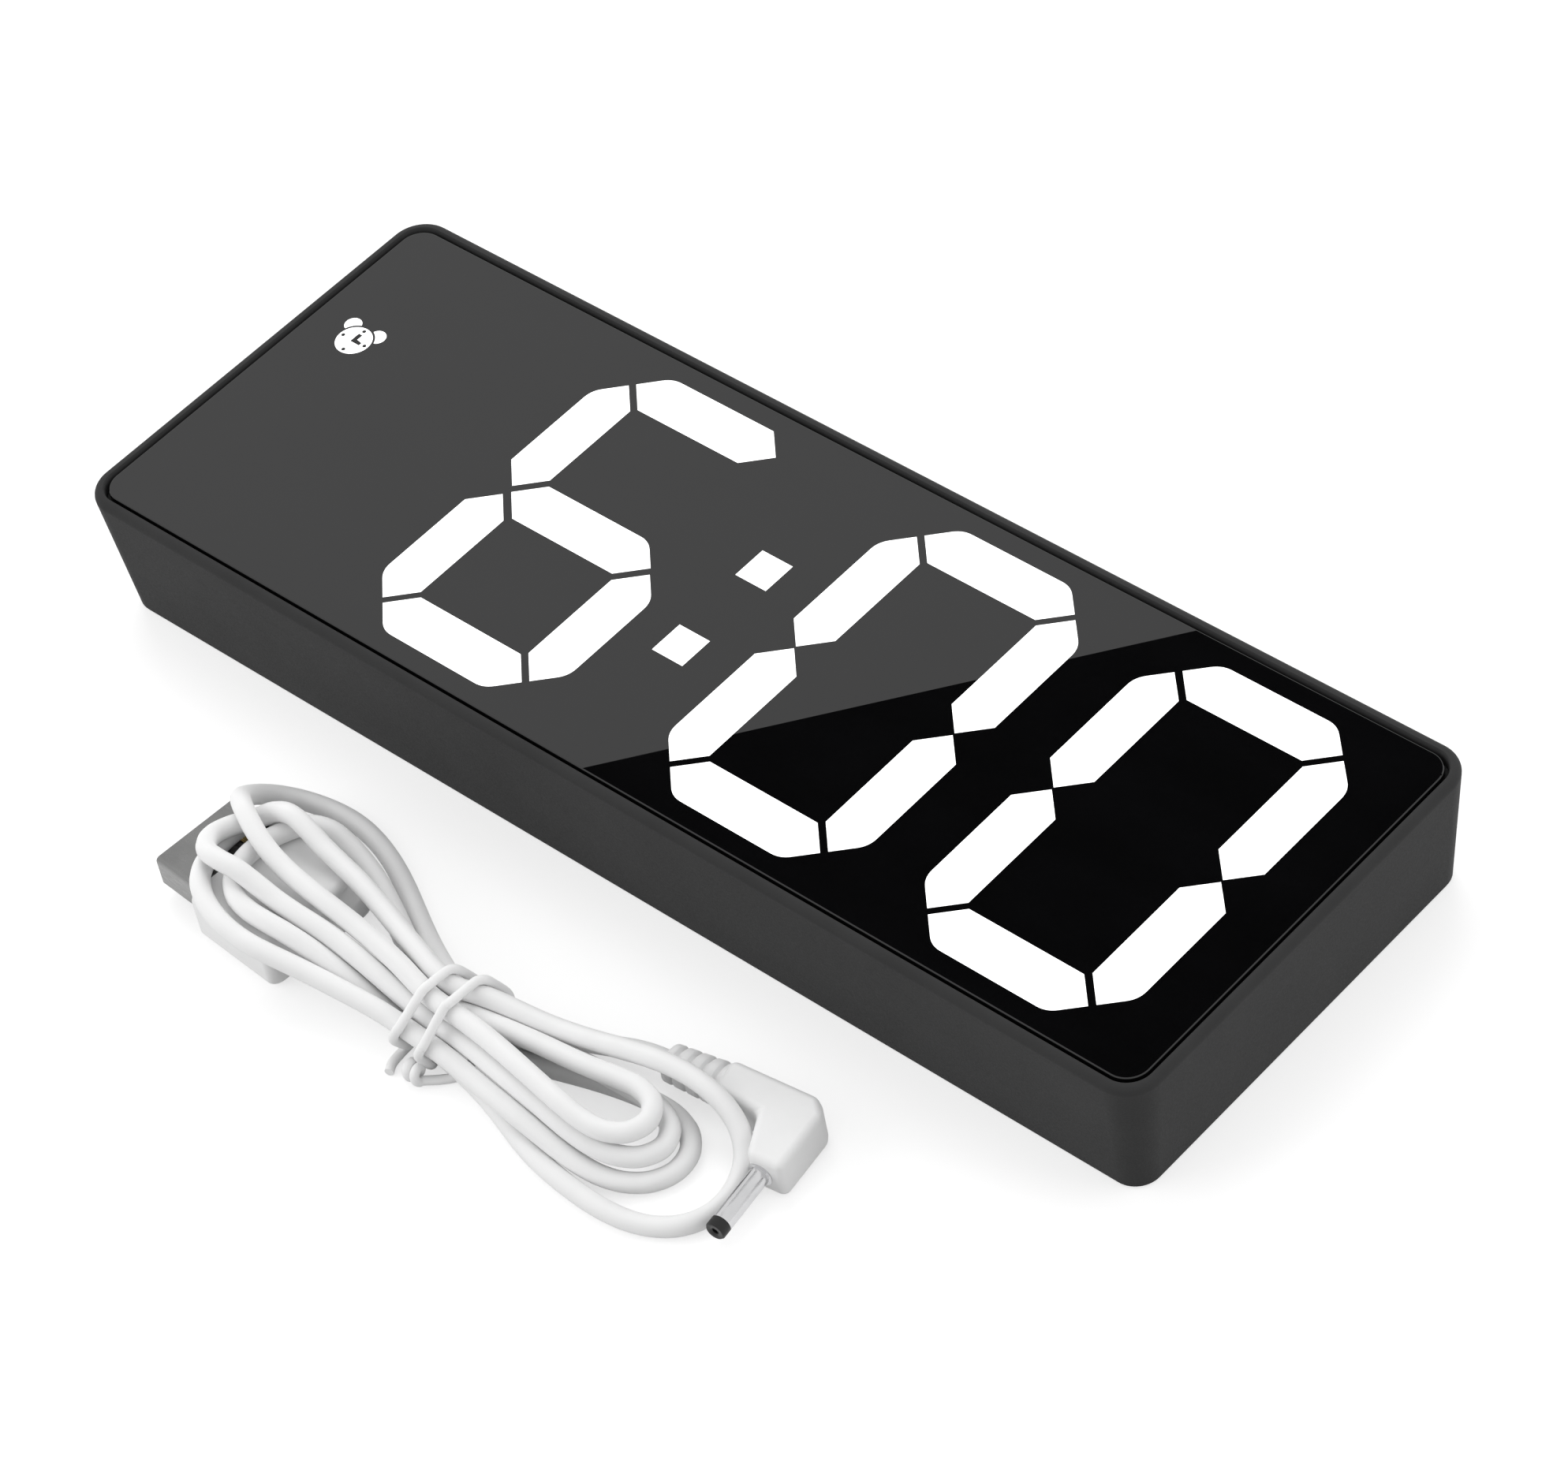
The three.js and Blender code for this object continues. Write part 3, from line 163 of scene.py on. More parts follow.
def rounded_ring(half_x: float, half_y: float, radius: float, z: float, steps: int) -> Ring:
    """The points of a rounded rectangle, anticlockwise.

    Args:
        half_x: Half its length along X.
        half_y: Half its length along Y.
        radius: Its corner radius.
        z: Its height.
        steps: Steps of each corner.

    Returns:
        The ring's points.
    """
    points = []
    for quarter, (sx, sy) in enumerate(((1, 1), (-1, 1), (-1, -1), (1, -1))):
        for step in range(steps + 1):
            angle = (quarter + step / steps) * TAU / 4
            x = sx * (half_x - radius) + radius * math.cos(angle)
            y = sy * (half_y - radius) + radius * math.sin(angle)
            points.append((x, y, z))
    return points


def quarter_round(radius: float, steps: int) -> list[Flat]:
    """The steps of a quarter round, from where it starts along the side to where it meets the top.

    Args:
        radius: Its radius.
        steps: Its steps.

    Returns:
        How far each step is brought in, and how far it has risen.
    """
    turns = [step / steps * TAU / 4 for step in range(steps + 1)]
    return [(radius * (1 - math.cos(turn)), radius * math.sin(turn)) for turn in turns]


def linked(name: str, data: bpy.types.ID) -> Piece:
    """A new object in the scene.

    Args:
        name: The object's name.
        data: Its mesh, curve, camera or lamp.

    Returns:
        The object.
    """
    piece = bpy.data.objects.new(name, data)
    bpy.context.scene.collection.objects.link(piece)
    return piece


def mesh_piece(name: str, points: Iterable[Point], faces: Sequence[Sequence[int]]) -> Piece:
    """A new mesh object from points in millimetres.

    Args:
        name: The object's name.
        points: Its vertices.
        faces: The vertex numbers of its faces.

    Returns:
        The object, linked to the scene.
    """
    mesh = bpy.data.meshes.new(name)
    mesh.from_pydata([tuple(c * MM for c in p) for p in points], [], [tuple(f) for f in faces])
    sheet = bmesh.new()
    sheet.from_mesh(mesh)
    bmesh.ops.recalc_face_normals(sheet, faces=sheet.faces)
    sheet.to_mesh(mesh)
    sheet.free()
    return linked(name, mesh)


def lofted(name: str, rings: Sequence[Ring], closed: bool = False) -> Piece:
    """A solid through a stack of rings of equally many points.

    Args:
        name: The object's name.
        rings: The rings in order.
        closed: Whether the last ring joins the first, as in a frame; otherwise both ends are capped.

    Returns:
        The object.
    """
    count = len(rings[0])
    points = [p for ring in rings for p in ring]
    faces = []
    levels = len(rings) if closed else len(rings) - 1
    for level in range(levels):
        low, high = level * count, (level + 1) % len(rings) * count
        for i in range(count):
            j = (i + 1) % count
            faces.append((low + i, low + j, high + j, high + i))
    if not closed:
        faces.append(tuple(reversed(range(count))))
        faces.append(tuple(range(len(points) - count, len(points))))
    return mesh_piece(name, points, faces)


def prism(name: str, outline: Sequence[Flat], z0: float, z1: float) -> Piece:
    """A prism of an outline in plan between two heights.

    Args:
        name: The object's name.
        outline: The outline's points.
        z0: The lower height.
        z1: The upper height.

    Returns:
        The object.
    """
    return lofted(name, [[(x, y, z) for x, y in outline] for z in (z0, z1)])


def turned(name: str, profile: Sequence[Flat], at: Flat = (0, 0), sides: int = 48) -> Piece:
    """A solid of revolution about an upright axis.

    Args:
        name: The object's name.
        profile: Radius and height of each step, from one end to the other.
        at: Where the axis stands.
        sides: Sides of the round.

    Returns:
        The object.
    """
    turns = [TAU * k / sides for k in range(sides)]
    rings = []
    for radius, z in profile:
        radius = max(radius, LEAST_RADIUS)
        rings.append([(at[0] + radius * math.cos(t), at[1] + radius * math.sin(t), z) for t in turns])
    return lofted(name, rings)


def pin(name: str, radius: float, z0: float, z1: float, at: Flat, sides: int = 48) -> Piece:
    """A plain upright round between two heights.

    Args:
        name: The object's name.
        radius: Its radius.
        z0: The lower height.
        z1: The upper height.
        at: Where its axis stands.
        sides: Sides of the round.

    Returns:
        The object.
    """
    return turned(name, [(radius, z0), (radius, z1)], at, sides)


def slab(name: str, low: Point, high: Point, corner: float = 0, steps: int = 5) -> Piece:
    """A block between two corners, with rounded upright edges.

    Args:
        name: The object's name.
        low: Its lowest corner.
        high: Its highest corner.
        corner: The radius of its upright edges.
        steps: Steps of each corner.

    Returns:
        The object.
    """
    centre = [(a + b) / 2 for a, b in zip(low, high)]
    half = [(b - a) / 2 for a, b in zip(low, high)]
    ring = rounded_ring(half[0], half[1], max(corner, LEAST_RADIUS), 0, steps if corner else 1)
    outline = [(x + centre[0], y + centre[1]) for x, y, _ in ring]
    return prism(name, outline, low[2], high[2])


def joined(name: str, parts: Sequence[Piece]) -> Piece:
    """Several meshes made one, without a change of place.

    Args:
        name: The new object's name.
        parts: The objects, which are used up.

    Returns:
        The joined object.
    """
    whole = bmesh.new()
    for part in parts:
        part.data.transform(part.matrix_world)
        whole.from_mesh(part.data)
    mesh = bpy.data.meshes.new(name)
    whole.to_mesh(mesh)
    whole.free()
    for part in parts:
        bpy.data.objects.remove(part)
    return linked(name, mesh)


def frozen(piece: Piece) -> Piece:
    """Applies an object's modifiers.

    Args:
        piece: The object.

    Returns:
        The same object with its final mesh.
    """
    bpy.context.view_layer.update()
    evaluated = piece.evaluated_get(bpy.context.evaluated_depsgraph_get())
    mesh = bpy.data.meshes.new_from_object(evaluated)
    piece.modifiers.clear()
    piece.data = mesh
    return piece


def carved(piece: Piece, cutters: Sequence[Piece], mode: Cut = Cut.AWAY) -> Piece:
    """Cuts several solids out of a piece, or adds them to it.

    Args:
        piece: The piece.
        cutters: The solids, which are used up.
        mode: Whether they are cut away or added on.

    Returns:
        The piece.
    """
    cutter = joined("cutter", cutters)
    step = piece.modifiers.new("cut", "BOOLEAN")
    step.operation = mode.value
    step.solver = "EXACT"
    step.use_self = True
    step.object = cutter
    frozen(piece)
    bpy.data.objects.remove(cutter)
    return piece


def softened(piece: Piece, width: float, segments: int = 2, angle: float = 50) -> Piece:
    """Rounds the sharp edges of a piece.

    Args:
        piece: The piece.
        width: The width of the rounding, in millimetres.
        segments: Its steps.
        angle: Edges sharper than this many degrees are rounded.

    Returns:
        The piece.
    """
    step = piece.modifiers.new("edge", "BEVEL")
    step.width = width * MM
    step.segments = segments
    step.limit_method = "ANGLE"
    step.angle_limit = math.radians(angle)
    step.harden_normals = False
    step.use_clamp_overlap = True
    return frozen(piece)


def smooth(piece: Piece, angle: float = 40) -> Piece:
    """Shades a piece smooth, with its sharper edges kept crisp and its large faces flat.

    Args:
        piece: The piece.
        angle: Edges sharper than this many degrees stay crisp.

    Returns:
        The piece.
    """
    mesh = piece.data
    mesh.polygons.foreach_set("use_smooth", [True] * len(mesh.polygons))
    mesh.set_sharp_from_angle(angle=math.radians(angle))
    step = piece.modifiers.new("even", "WEIGHTED_NORMAL")
    step.keep_sharp = True
    step.weight = 100
    return frozen(piece)


def wire(node: bpy.types.Node, **inputs: object) -> bpy.types.Node:
    """Sets or links some of a node's sockets.

    Args:
        node: The node.
        inputs: Socket names, with underscores for spaces, and what goes in: a value or another's output.

    Returns:
        The node.
    """
    for name, value in inputs.items():
        socket = node.inputs[name.replace("_", " ")]
        if isinstance(value, Socket):
            node.id_data.links.new(value, socket)
        else:
            socket.default_value = value
    return node


def new_node(tree: Tree, kind: str, **inputs: object) -> bpy.types.Node:
    """A new shader node.

    Args:
        tree: The tree that it goes into.
        kind: Its type, without the start that all of them share.
        inputs: What goes into its sockets.

    Returns:
        The node.
    """
    return wire(tree.nodes.new(f"ShaderNode{kind}"), **inputs)


def blank_tree(owner: bpy.types.ID) -> Tree:
    """The emptied node tree of a material or a world.

    Args:
        owner: The material or the world.

    Returns:
        The tree.
    """
    owner.use_nodes = True
    owner.node_tree.nodes.clear()
    return owner.node_tree


def ray_is(tree: Tree, *kinds: Ray) -> Socket:
    """Whether a ray is of one of several kinds.

    Args:
        tree: The node tree.
        kinds: The kinds.

    Returns:
        One or nought.
    """
    rays = new_node(tree, "LightPath")
    found = rays.outputs[kinds[0].value]
    for kind in kinds[1:]:
        either = new_node(tree, "Math")
        either.operation = "MAXIMUM"
        tree.links.new(found, either.inputs[0])
        tree.links.new(rays.outputs[kind.value], either.inputs[1])
        found = either.outputs[0]
    return found


class Sketch:
    """The node tree of one material, built up step by step."""

    NOISE_LOW, NOISE_HIGH = 0.3, 0.7

    def __init__(self, name: str) -> None:
        """Starts a material with a principled shader.

        Args:
            name: The material's name.
        """
        self.material = bpy.data.materials.new(name)
        self.tree = blank_tree(self.material)
        self.shader = new_node(self.tree, "BsdfPrincipled")
        new_node(self.tree, "OutputMaterial", Surface=self.shader.outputs["BSDF"])
        self.place = new_node(self.tree, "TexCoord").outputs["Object"]

    def put(self, **inputs: object) -> None:
        """Sets or links sockets of the shader.

        Args:
            inputs: What goes into its sockets.
        """
        wire(self.shader, **inputs)

    def noise(self, feature: float, detail: float = 3, stretch: Point = (1, 1, 1)) -> Socket:
        """A noise over the surface.

        Args:
            feature: The size of its features, in millimetres.
            detail: Its octaves.
            stretch: How much finer it is along each axis.

        Returns:
            The noise's value.
        """
        scaled = new_node(self.tree, "Mapping", Vector=self.place, Scale=stretch)
        vector = scaled.outputs["Vector"]
        texture = new_node(self.tree, "TexNoise", Vector=vector, Scale=1 / (feature * MM), Detail=detail)
        return texture.outputs["Fac"]

    def spread(self, source: Socket, low: float, high: float) -> Socket:
        """Maps a noise to a range.

        Args:
            source: The noise.
            low: The value at its low end.
            high: The value at its high end.

        Returns:
            The mapped value.
        """
        ranged = new_node(
            self.tree, "MapRange",
            Value=source, From_Min=self.NOISE_LOW, From_Max=self.NOISE_HIGH, To_Min=low, To_Max=high,
        )
        return ranged.outputs["Result"]

    def tint(self, source: Socket, dark: Point, light: Point) -> Socket:
        """Blends two colours by a noise.

        Args:
            source: The noise.
            dark: The colour at its low end.
            light: The colour at its high end.

        Returns:
            The blended colour.
        """
        mix = new_node(self.tree, "Mix")
        mix.data_type = "RGBA"
        wire(mix, A=(*dark, 1), B=(*light, 1), Factor=self.spread(source, 0, 1))
        return mix.outputs["Result"]

    def shades(self, source: Socket, colour: Point, dark: float, light: float = 1) -> Socket:
        """Blends a darker and a lighter shade of a colour by a noise.

        Args:
            source: The noise.
            colour: The colour.
            dark: The factor of its darker shade.
            light: The factor of its lighter shade.

        Returns:
            The blended colour.
        """
        low, high = (tuple(min(c * factor, 1.0) for c in colour) for factor in (dark, light))
        return self.tint(source, low, high)

    def bump(self, source: Socket, depth: float, strength: float = 1) -> None:
        """Raises the surface by a noise.

        Args:
            source: The noise.
            depth: The height of the relief, in millimetres.
            strength: How strongly it shows.
        """
        relief = new_node(self.tree, "Bump", Height=source, Distance=depth * MM, Strength=strength)
        self.put(Normal=relief.outputs["Normal"])


@dataclass(frozen=True)
class MouldedPlastic:
    """Injection-moulded plastic with a fine spark-eroded grain and slight mottling."""

    name: str
    colour: Point
    roughness: float = 0.5
    grain: float = 0.22
    grain_depth: float = 0.012
    mottle: float = 0.07
    specular: float = 0.35
    cloud: float = 9
    sheen: float = 0.06

    def make(self) -> Material:
        """Makes the finish.

        Returns:
            The material.
        """
        sketch = Sketch(self.name)
        cloud, fine = sketch.noise(self.cloud, 4), sketch.noise(self.grain, 2)
        sketch.put(
            Base_Color=sketch.shades(cloud, self.colour, 1 - self.mottle, 1 + self.mottle),
            Roughness=sketch.spread(fine, self.roughness - self.sheen, self.roughness + self.sheen),
            Specular_IOR_Level=self.specular,
        )
        sketch.bump(fine, self.grain_depth)
        return sketch.material


@dataclass(frozen=True)
class TintedMirror:
    """Black-backed acrylic with a hard gloss and a trace of handling haze."""

    name: str
    colour: Point = (0.0012, 0.0012, 0.0014)
    ior: float = 1.56
    polish: float = 0.0
    haze: float = 0.006
    smear: float = 14
    smear_stretch: Point = (1, 2.2, 1)
    smear_light: float = 1.6

    def make(self) -> Material:
        """Makes the finish.

        Returns:
            The material.
        """
        sketch = Sketch(self.name)
        smear = sketch.noise(self.smear, 4, self.smear_stretch)
        sketch.put(
            Base_Color=sketch.shades(smear, self.colour, 1, self.smear_light),
            Roughness=sketch.spread(smear, self.polish, self.haze),
            IOR=self.ior,
        )
        return sketch.material


@dataclass(frozen=True)
class LitPlastic:
    """Milky light guide, lit evenly from behind."""

    name: str
    glow: float = 1.0
    unevenness: float = 0.02
    cloud: float = 6
    dull: Point = (0.78, 0.78, 0.77)
    clear: Point = (0.82, 0.82, 0.82)
    roughness: float = 0.3

    def make(self) -> Material:
        """Makes the finish.

        Returns:
            The material.
        """
        sketch = Sketch(self.name)
        soft = sketch.noise(self.cloud, 2)
        sketch.put(
            Emission_Color=sketch.shades(soft, (1, 1, 1), 1 - self.unevenness),
            Base_Color=sketch.tint(soft, self.dull, self.clear),
            Emission_Strength=self.glow,
            Roughness=self.roughness,
        )
        return sketch.material


@dataclass(frozen=True)
class SoftJacket:
    """Soft white vinyl, as on a cord and its moulded plugs."""

    name: str
    colour: Point = (0.84, 0.84, 0.84)
    roughness: float = 0.48
    orange_peel: float = 0.8
    cloud: float = 7
    dark: float = 0.97
    light: float = 1.02
    sheen: float = 0.07
    specular: float = 0.4
    skin_depth: float = 0.02
    skin_strength: float = 0.6

    def make(self) -> Material:
        """Makes the finish.

        Returns:
            The material.
        """
        sketch = Sketch(self.name)
        skin = sketch.noise(self.orange_peel)
        sketch.put(
            Base_Color=sketch.shades(sketch.noise(self.cloud), self.colour, self.dark, self.light),
            Roughness=sketch.spread(skin, self.roughness - self.sheen, self.roughness + self.sheen),
            Specular_IOR_Level=self.specular,
        )
        sketch.bump(skin, self.skin_depth, self.skin_strength)
        return sketch.material


@dataclass(frozen=True)
class PlatedMetal:
    """Nickel-plated or bare metal with drawn marks along one direction."""

    name: str
    colour: Point
    roughness: float = 0.25
    drawn: Point = (0.15, 1, 1)
    mark: float = 0.25
    cloud: float = 4
    tarnish: float = 0.88
    polished: float = 0.08
    rubbed: float = 0.12
    mark_depth: float = 0.006
    mark_strength: float = 0.5

    def make(self) -> Material:
        """Makes the finish.

        Returns:
            The material.
        """
        sketch = Sketch(self.name)
        lines = sketch.noise(self.mark, 4, self.drawn)
        sketch.put(
            Base_Color=sketch.shades(sketch.noise(self.cloud), self.colour, self.tarnish),
            Roughness=sketch.spread(lines, self.roughness - self.polished, self.roughness + self.rubbed),
            Metallic=1.0,
        )
        sketch.bump(lines, self.mark_depth, self.mark_strength)
        return sketch.material


@dataclass(frozen=True)
class BoardCoat:
    """Solder mask over a glass-fibre board, with the weave faintly showing."""

    name: str
    colour: Point = (0.012, 0.1, 0.035)
    weave: float = 0.9
    weave_stretch: Point = (1, 0.3, 1)
    weave_depth: float = 0.02
    dark: float = 0.75
    roughness: float = 0.35

    def make(self) -> Material:
        """Makes the finish.

        Returns:
            The material.
        """
        sketch = Sketch(self.name)
        weave = sketch.noise(self.weave, 1, self.weave_stretch)
        sketch.put(Base_Color=sketch.shades(weave, self.colour, self.dark), Roughness=self.roughness)
        sketch.bump(weave, self.weave_depth)
        return sketch.material


class Finishes:
    """All the finishes of the clock and its cord, each made once."""

    def __init__(self) -> None:
        """Makes every finish."""
        plastic, metal = MouldedPlastic, PlatedMetal
        self.housing = plastic("charcoal_grain", (0.035, 0.035, 0.0353), 0.66, specular=0.1).make()
        self.cover = plastic("charcoal_back", (0.031, 0.031, 0.0313), 0.6, 0.3, 0.016, 0.06, 0.15).make()
        self.button = plastic("button_grain", (0.026, 0.026, 0.0265), 0.48, 0.18, 0.008, 0.06, 0.25).make()
        self.black = plastic("black_moulding", (0.012, 0.012, 0.012), 0.4, 0.3, 0.01).make()
        self.mirror = TintedMirror("smoked_mirror").make()
        self.lit = LitPlastic("lit_guide_white").make()
        self.unlit = plastic("unlit_guide_milk", (0.6, 0.61, 0.6), 0.4, 0.4, 0.006, 0.04).make()
        self.reflector = plastic("reflector_white", (0.72, 0.72, 0.7), 0.6, 0.35, 0.012, 0.05).make()
        self.plunger = plastic("plunger_ivory", (0.6, 0.56, 0.48), 0.45, 0.3, 0.008, 0.05).make()
        self.board = BoardCoat("board_mask").make()
        self.steel = metal("screw_steel", (0.5, 0.5, 0.51)).make()
        self.cell = metal("cell_can", (0.6, 0.6, 0.61), 0.22, (1, 0.2, 1), 0.4).make()
        self.plug = metal("plug_nickel", (0.27, 0.27, 0.268), 0.3).make()
        self.barrel = metal("barrel_nickel", (0.66, 0.66, 0.67), 0.14, (1, 0.2, 1), 0.3).make()
        self.contact = metal("contact_gold", (0.75, 0.55, 0.22), 0.2).make()
        self.jacket = SoftJacket("cord_jacket").make()
        self.plug_skin = SoftJacket("plug_jacket", (0.83, 0.83, 0.83), 0.42, 0.5).make()
        self.tie = SoftJacket("tie_jacket", (0.86, 0.86, 0.86), 0.5, 0.3).make()


def settle(piece: Piece, finish: Material, slot: Slot, body: Body, *nodes: str) -> Piece:
    """Gives a new piece its finish and body, and names the CAD nodes that it stands for.

    Args:
        piece: The piece.
        finish: Its material.
        slot: The record's slot that the finish belongs to; not used.
        body: The body that it rides on.
        nodes: The CAD nodes that it replaces.

    Returns:
        The piece.
    """
    piece.data.materials.clear()
    piece.data.materials.append(finish)
    if piece.type == "MESH":
        piece.data.polygons.foreach_set("material_index", [0] * len(piece.data.polygons))
    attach(piece, body.value)
    if nodes:
        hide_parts(*nodes)
    LOG.info("%s: rides %s, stands for %s", piece.name, body.value, ", ".join(nodes) or "no node")
    return piece


def dress(finish: Material, *nodes: str) -> None:
    """Gives CAD nodes that stay their material.

    Args:
        finish: The material.
        nodes: The nodes.
    """
    for node in nodes:
        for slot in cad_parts[node].material_slots:
            slot.material = finish
        LOG.info("%s: kept with the finish %s", node, finish.name)


SHELL = Shell()


@dataclass
class Housing:
    """The tapered tray with its round rim, the ledge behind the mirror and the slot of the snooze bar."""

    finishes: Finishes
    rim_steps: int = 8
    chamfer_mid: float = 0.3
    side_shares: tuple[float, ...] = (0.25, 0.5, 0.75)
    # Where the rim breaks into the slope: how far in, how far down, and how much rounder than the foot
    brink: tuple[Point, ...] = ((-0.06, 0, 0.26), (0.02, 0.07, 0.18))
    slot_half: float = 20
    slot_centre: float = -3.46
    slot_low: float = 5.0
    slot_high: float = 9.3
    slot_in: float = 4.5
    slot_out: float = 1

    def rings(self) -> list[Ring]:
        """The rings of the tray, from its back edge up the outside, over the rim and down the inside.

        Returns:
            The rings.
        """
        s = SHELL
        chamfer, side_top = s.back_chamfer, s.depth - s.rim_round
        middle = chamfer * self.chamfer_mid
        rings = [s.ring(0, chamfer), s.ring(middle, middle), s.ring(chamfer, 0)]
        rings += [s.ring(chamfer + (side_top - chamfer) * share, 0) for share in self.side_shares]
        rim = quarter_round(s.rim_round, self.rim_steps)
        rings += [s.ring(side_top + rise, inset) for inset, rise in rim]
        corner = s.front_corner - s.recess_inset
        for more, down, wider in self.brink:
            rings.append(s.level(s.rim_inset + more, s.depth - down, corner + wider))
        rings += [s.level(s.recess_inset, z, corner) for z in (s.depth - s.slope_depth, s.panel_bottom)]
        inner = s.recess_inset + FIT_GAP + s.ledge_reach
        rings += [s.level(inner, z, corner) for z in (s.panel_bottom, s.ledge_bottom)]
        return [*rings, s.ring(s.ledge_bottom, s.wall), s.ring(0, s.wall)]

    def build(self) -> None:
        """Makes the housing and dresses it."""
        tray = lofted("housing_tray", self.rings(), closed=True)
        low = (self.slot_centre - self.slot_half, SHELL.width / 2 - self.slot_in, self.slot_low)
        high = (self.slot_centre + self.slot_half, SHELL.width / 2 + self.slot_out, self.slot_high)
        carved(tray, [slab("slot", low, high)])
        settle(smooth(tray), self.finishes.housing, Slot.HOUSING, Body.CLOCK, "front_housing")


class Place(str, Enum):
    """The nodes of a figure: top, middle or bottom, and left or right."""

    TL = "TL"
    TR = "TR"
    ML = "ML"
    MR = "MR"
    BL = "BL"
    BR = "BR"


@dataclass(frozen=True)
class Bar:
    """One bar of a figure: the nodes that it joins and the side of it that faces out."""

    start: Place
    end: Place
    outer: int


BARS = {
    "a": Bar(Place.TL, Place.TR, 1),
    "b": Bar(Place.MR, Place.TR, -1),
    "c": Bar(Place.BR, Place.MR, -1),
    "d": Bar(Place.BL, Place.BR, -1),
    "e": Bar(Place.BL, Place.ML, 1),
    "f": Bar(Place.ML, Place.TL, 1),
    "g": Bar(Place.ML, Place.MR, 1),
}


@dataclass
class Figure:
    """A seven-segment figure: its place, its lit bars and the corners that are rounded."""

    node: str
    x: float
    lit: str
    rounded: tuple[Place, ...]
    waist_gap: float
    width: float = 29.504
    height: float = 49
    stroke: float = 6.2
    tip_gap: float = 0.64
    shoulder: float = 1.3
    shoulder_steps: int = 7

    def corner(self, place: Place) -> Vector:
        """Where a node of the figure lies.

        Args:
            place: The node.

        Returns:
            Its point in plan.
        """
        reach_x = self.width / 2 - self.stroke / 2
        reach_y = self.height / 2 - self.stroke / 2
        up = {"T": 1, "M": 0, "B": -1}[place.value[0]]
        right = {"L": -1, "R": 1}[place.value[1]]
        return Vector((self.x + right * reach_x, up * reach_y))

    def tip(self, bar: str, place: Place) -> float:
        """How far a bar's tip stays from a node.

        Args:
            bar: The bar's letter.
            place: The node.

        Returns:
            The distance.
        """
        if place.value[0] == "M" and bar != "g":
            return self.waist_gap
        return self.tip_gap

    def outline(self, bar: str, grow: float) -> list[Flat]:
        """The outline of a bar, grown by a clearance, with its outer shoulders rounded.

        Args:
            bar: The bar's letter.
            grow: The clearance.

        Returns:
            The outline's points.
        """
        ends = BARS[bar]
        start, end = self.corner(ends.start), self.corner(ends.end)
        along = (end - start).normalized()
        across = Vector((-along.y, along.x))
        half = self.stroke / 2 + grow
        first = self.tip(bar, ends.start) - grow * math.sqrt(2)
        last = (end - start).length - self.tip(bar, ends.end) + grow * math.sqrt(2)
        round_first, round_last = ends.start in self.rounded, ends.end in self.rounded
        corners = [
            (first, 0, False),
            (first + half, -half, round_first and ends.outer < 0),
            (last - half, -half, round_last and ends.outer < 0),
            (last, 0, False),
            (last - half, half, round_last and ends.outer > 0),
            (first + half, half, round_first and ends.outer > 0),
        ]
        places = [start + along * s + across * t for s, t, _ in corners]
        points = []
        for i, (_, _, is_round) in enumerate(corners):
            here = places[i]
            if not is_round:
                points.append((here.x, here.y))
                continue
            before = here + (places[i - 1] - here).normalized() * self.shoulder
            after = here + (places[(i + 1) % len(places)] - here).normalized() * self.shoulder
            for step in range(self.shoulder_steps + 1):
                t = step / self.shoulder_steps
                p = before * (1 - t) ** 2 + here * 2 * t * (1 - t) + after * t ** 2
                points.append((p.x, p.y))
        return points

    def islands(self, grow: float, z0: float, z1: float) -> list[Piece]:
        """A prism over each lit bar.

        Args:
            grow: A clearance round each bar.
            z0: The prisms' foot.
            z1: Their top.

        Returns:
            The prisms.
        """
        return [prism(f"{self.node}_{bar}", self.outline(bar, grow), z0, z1) for bar in self.lit]


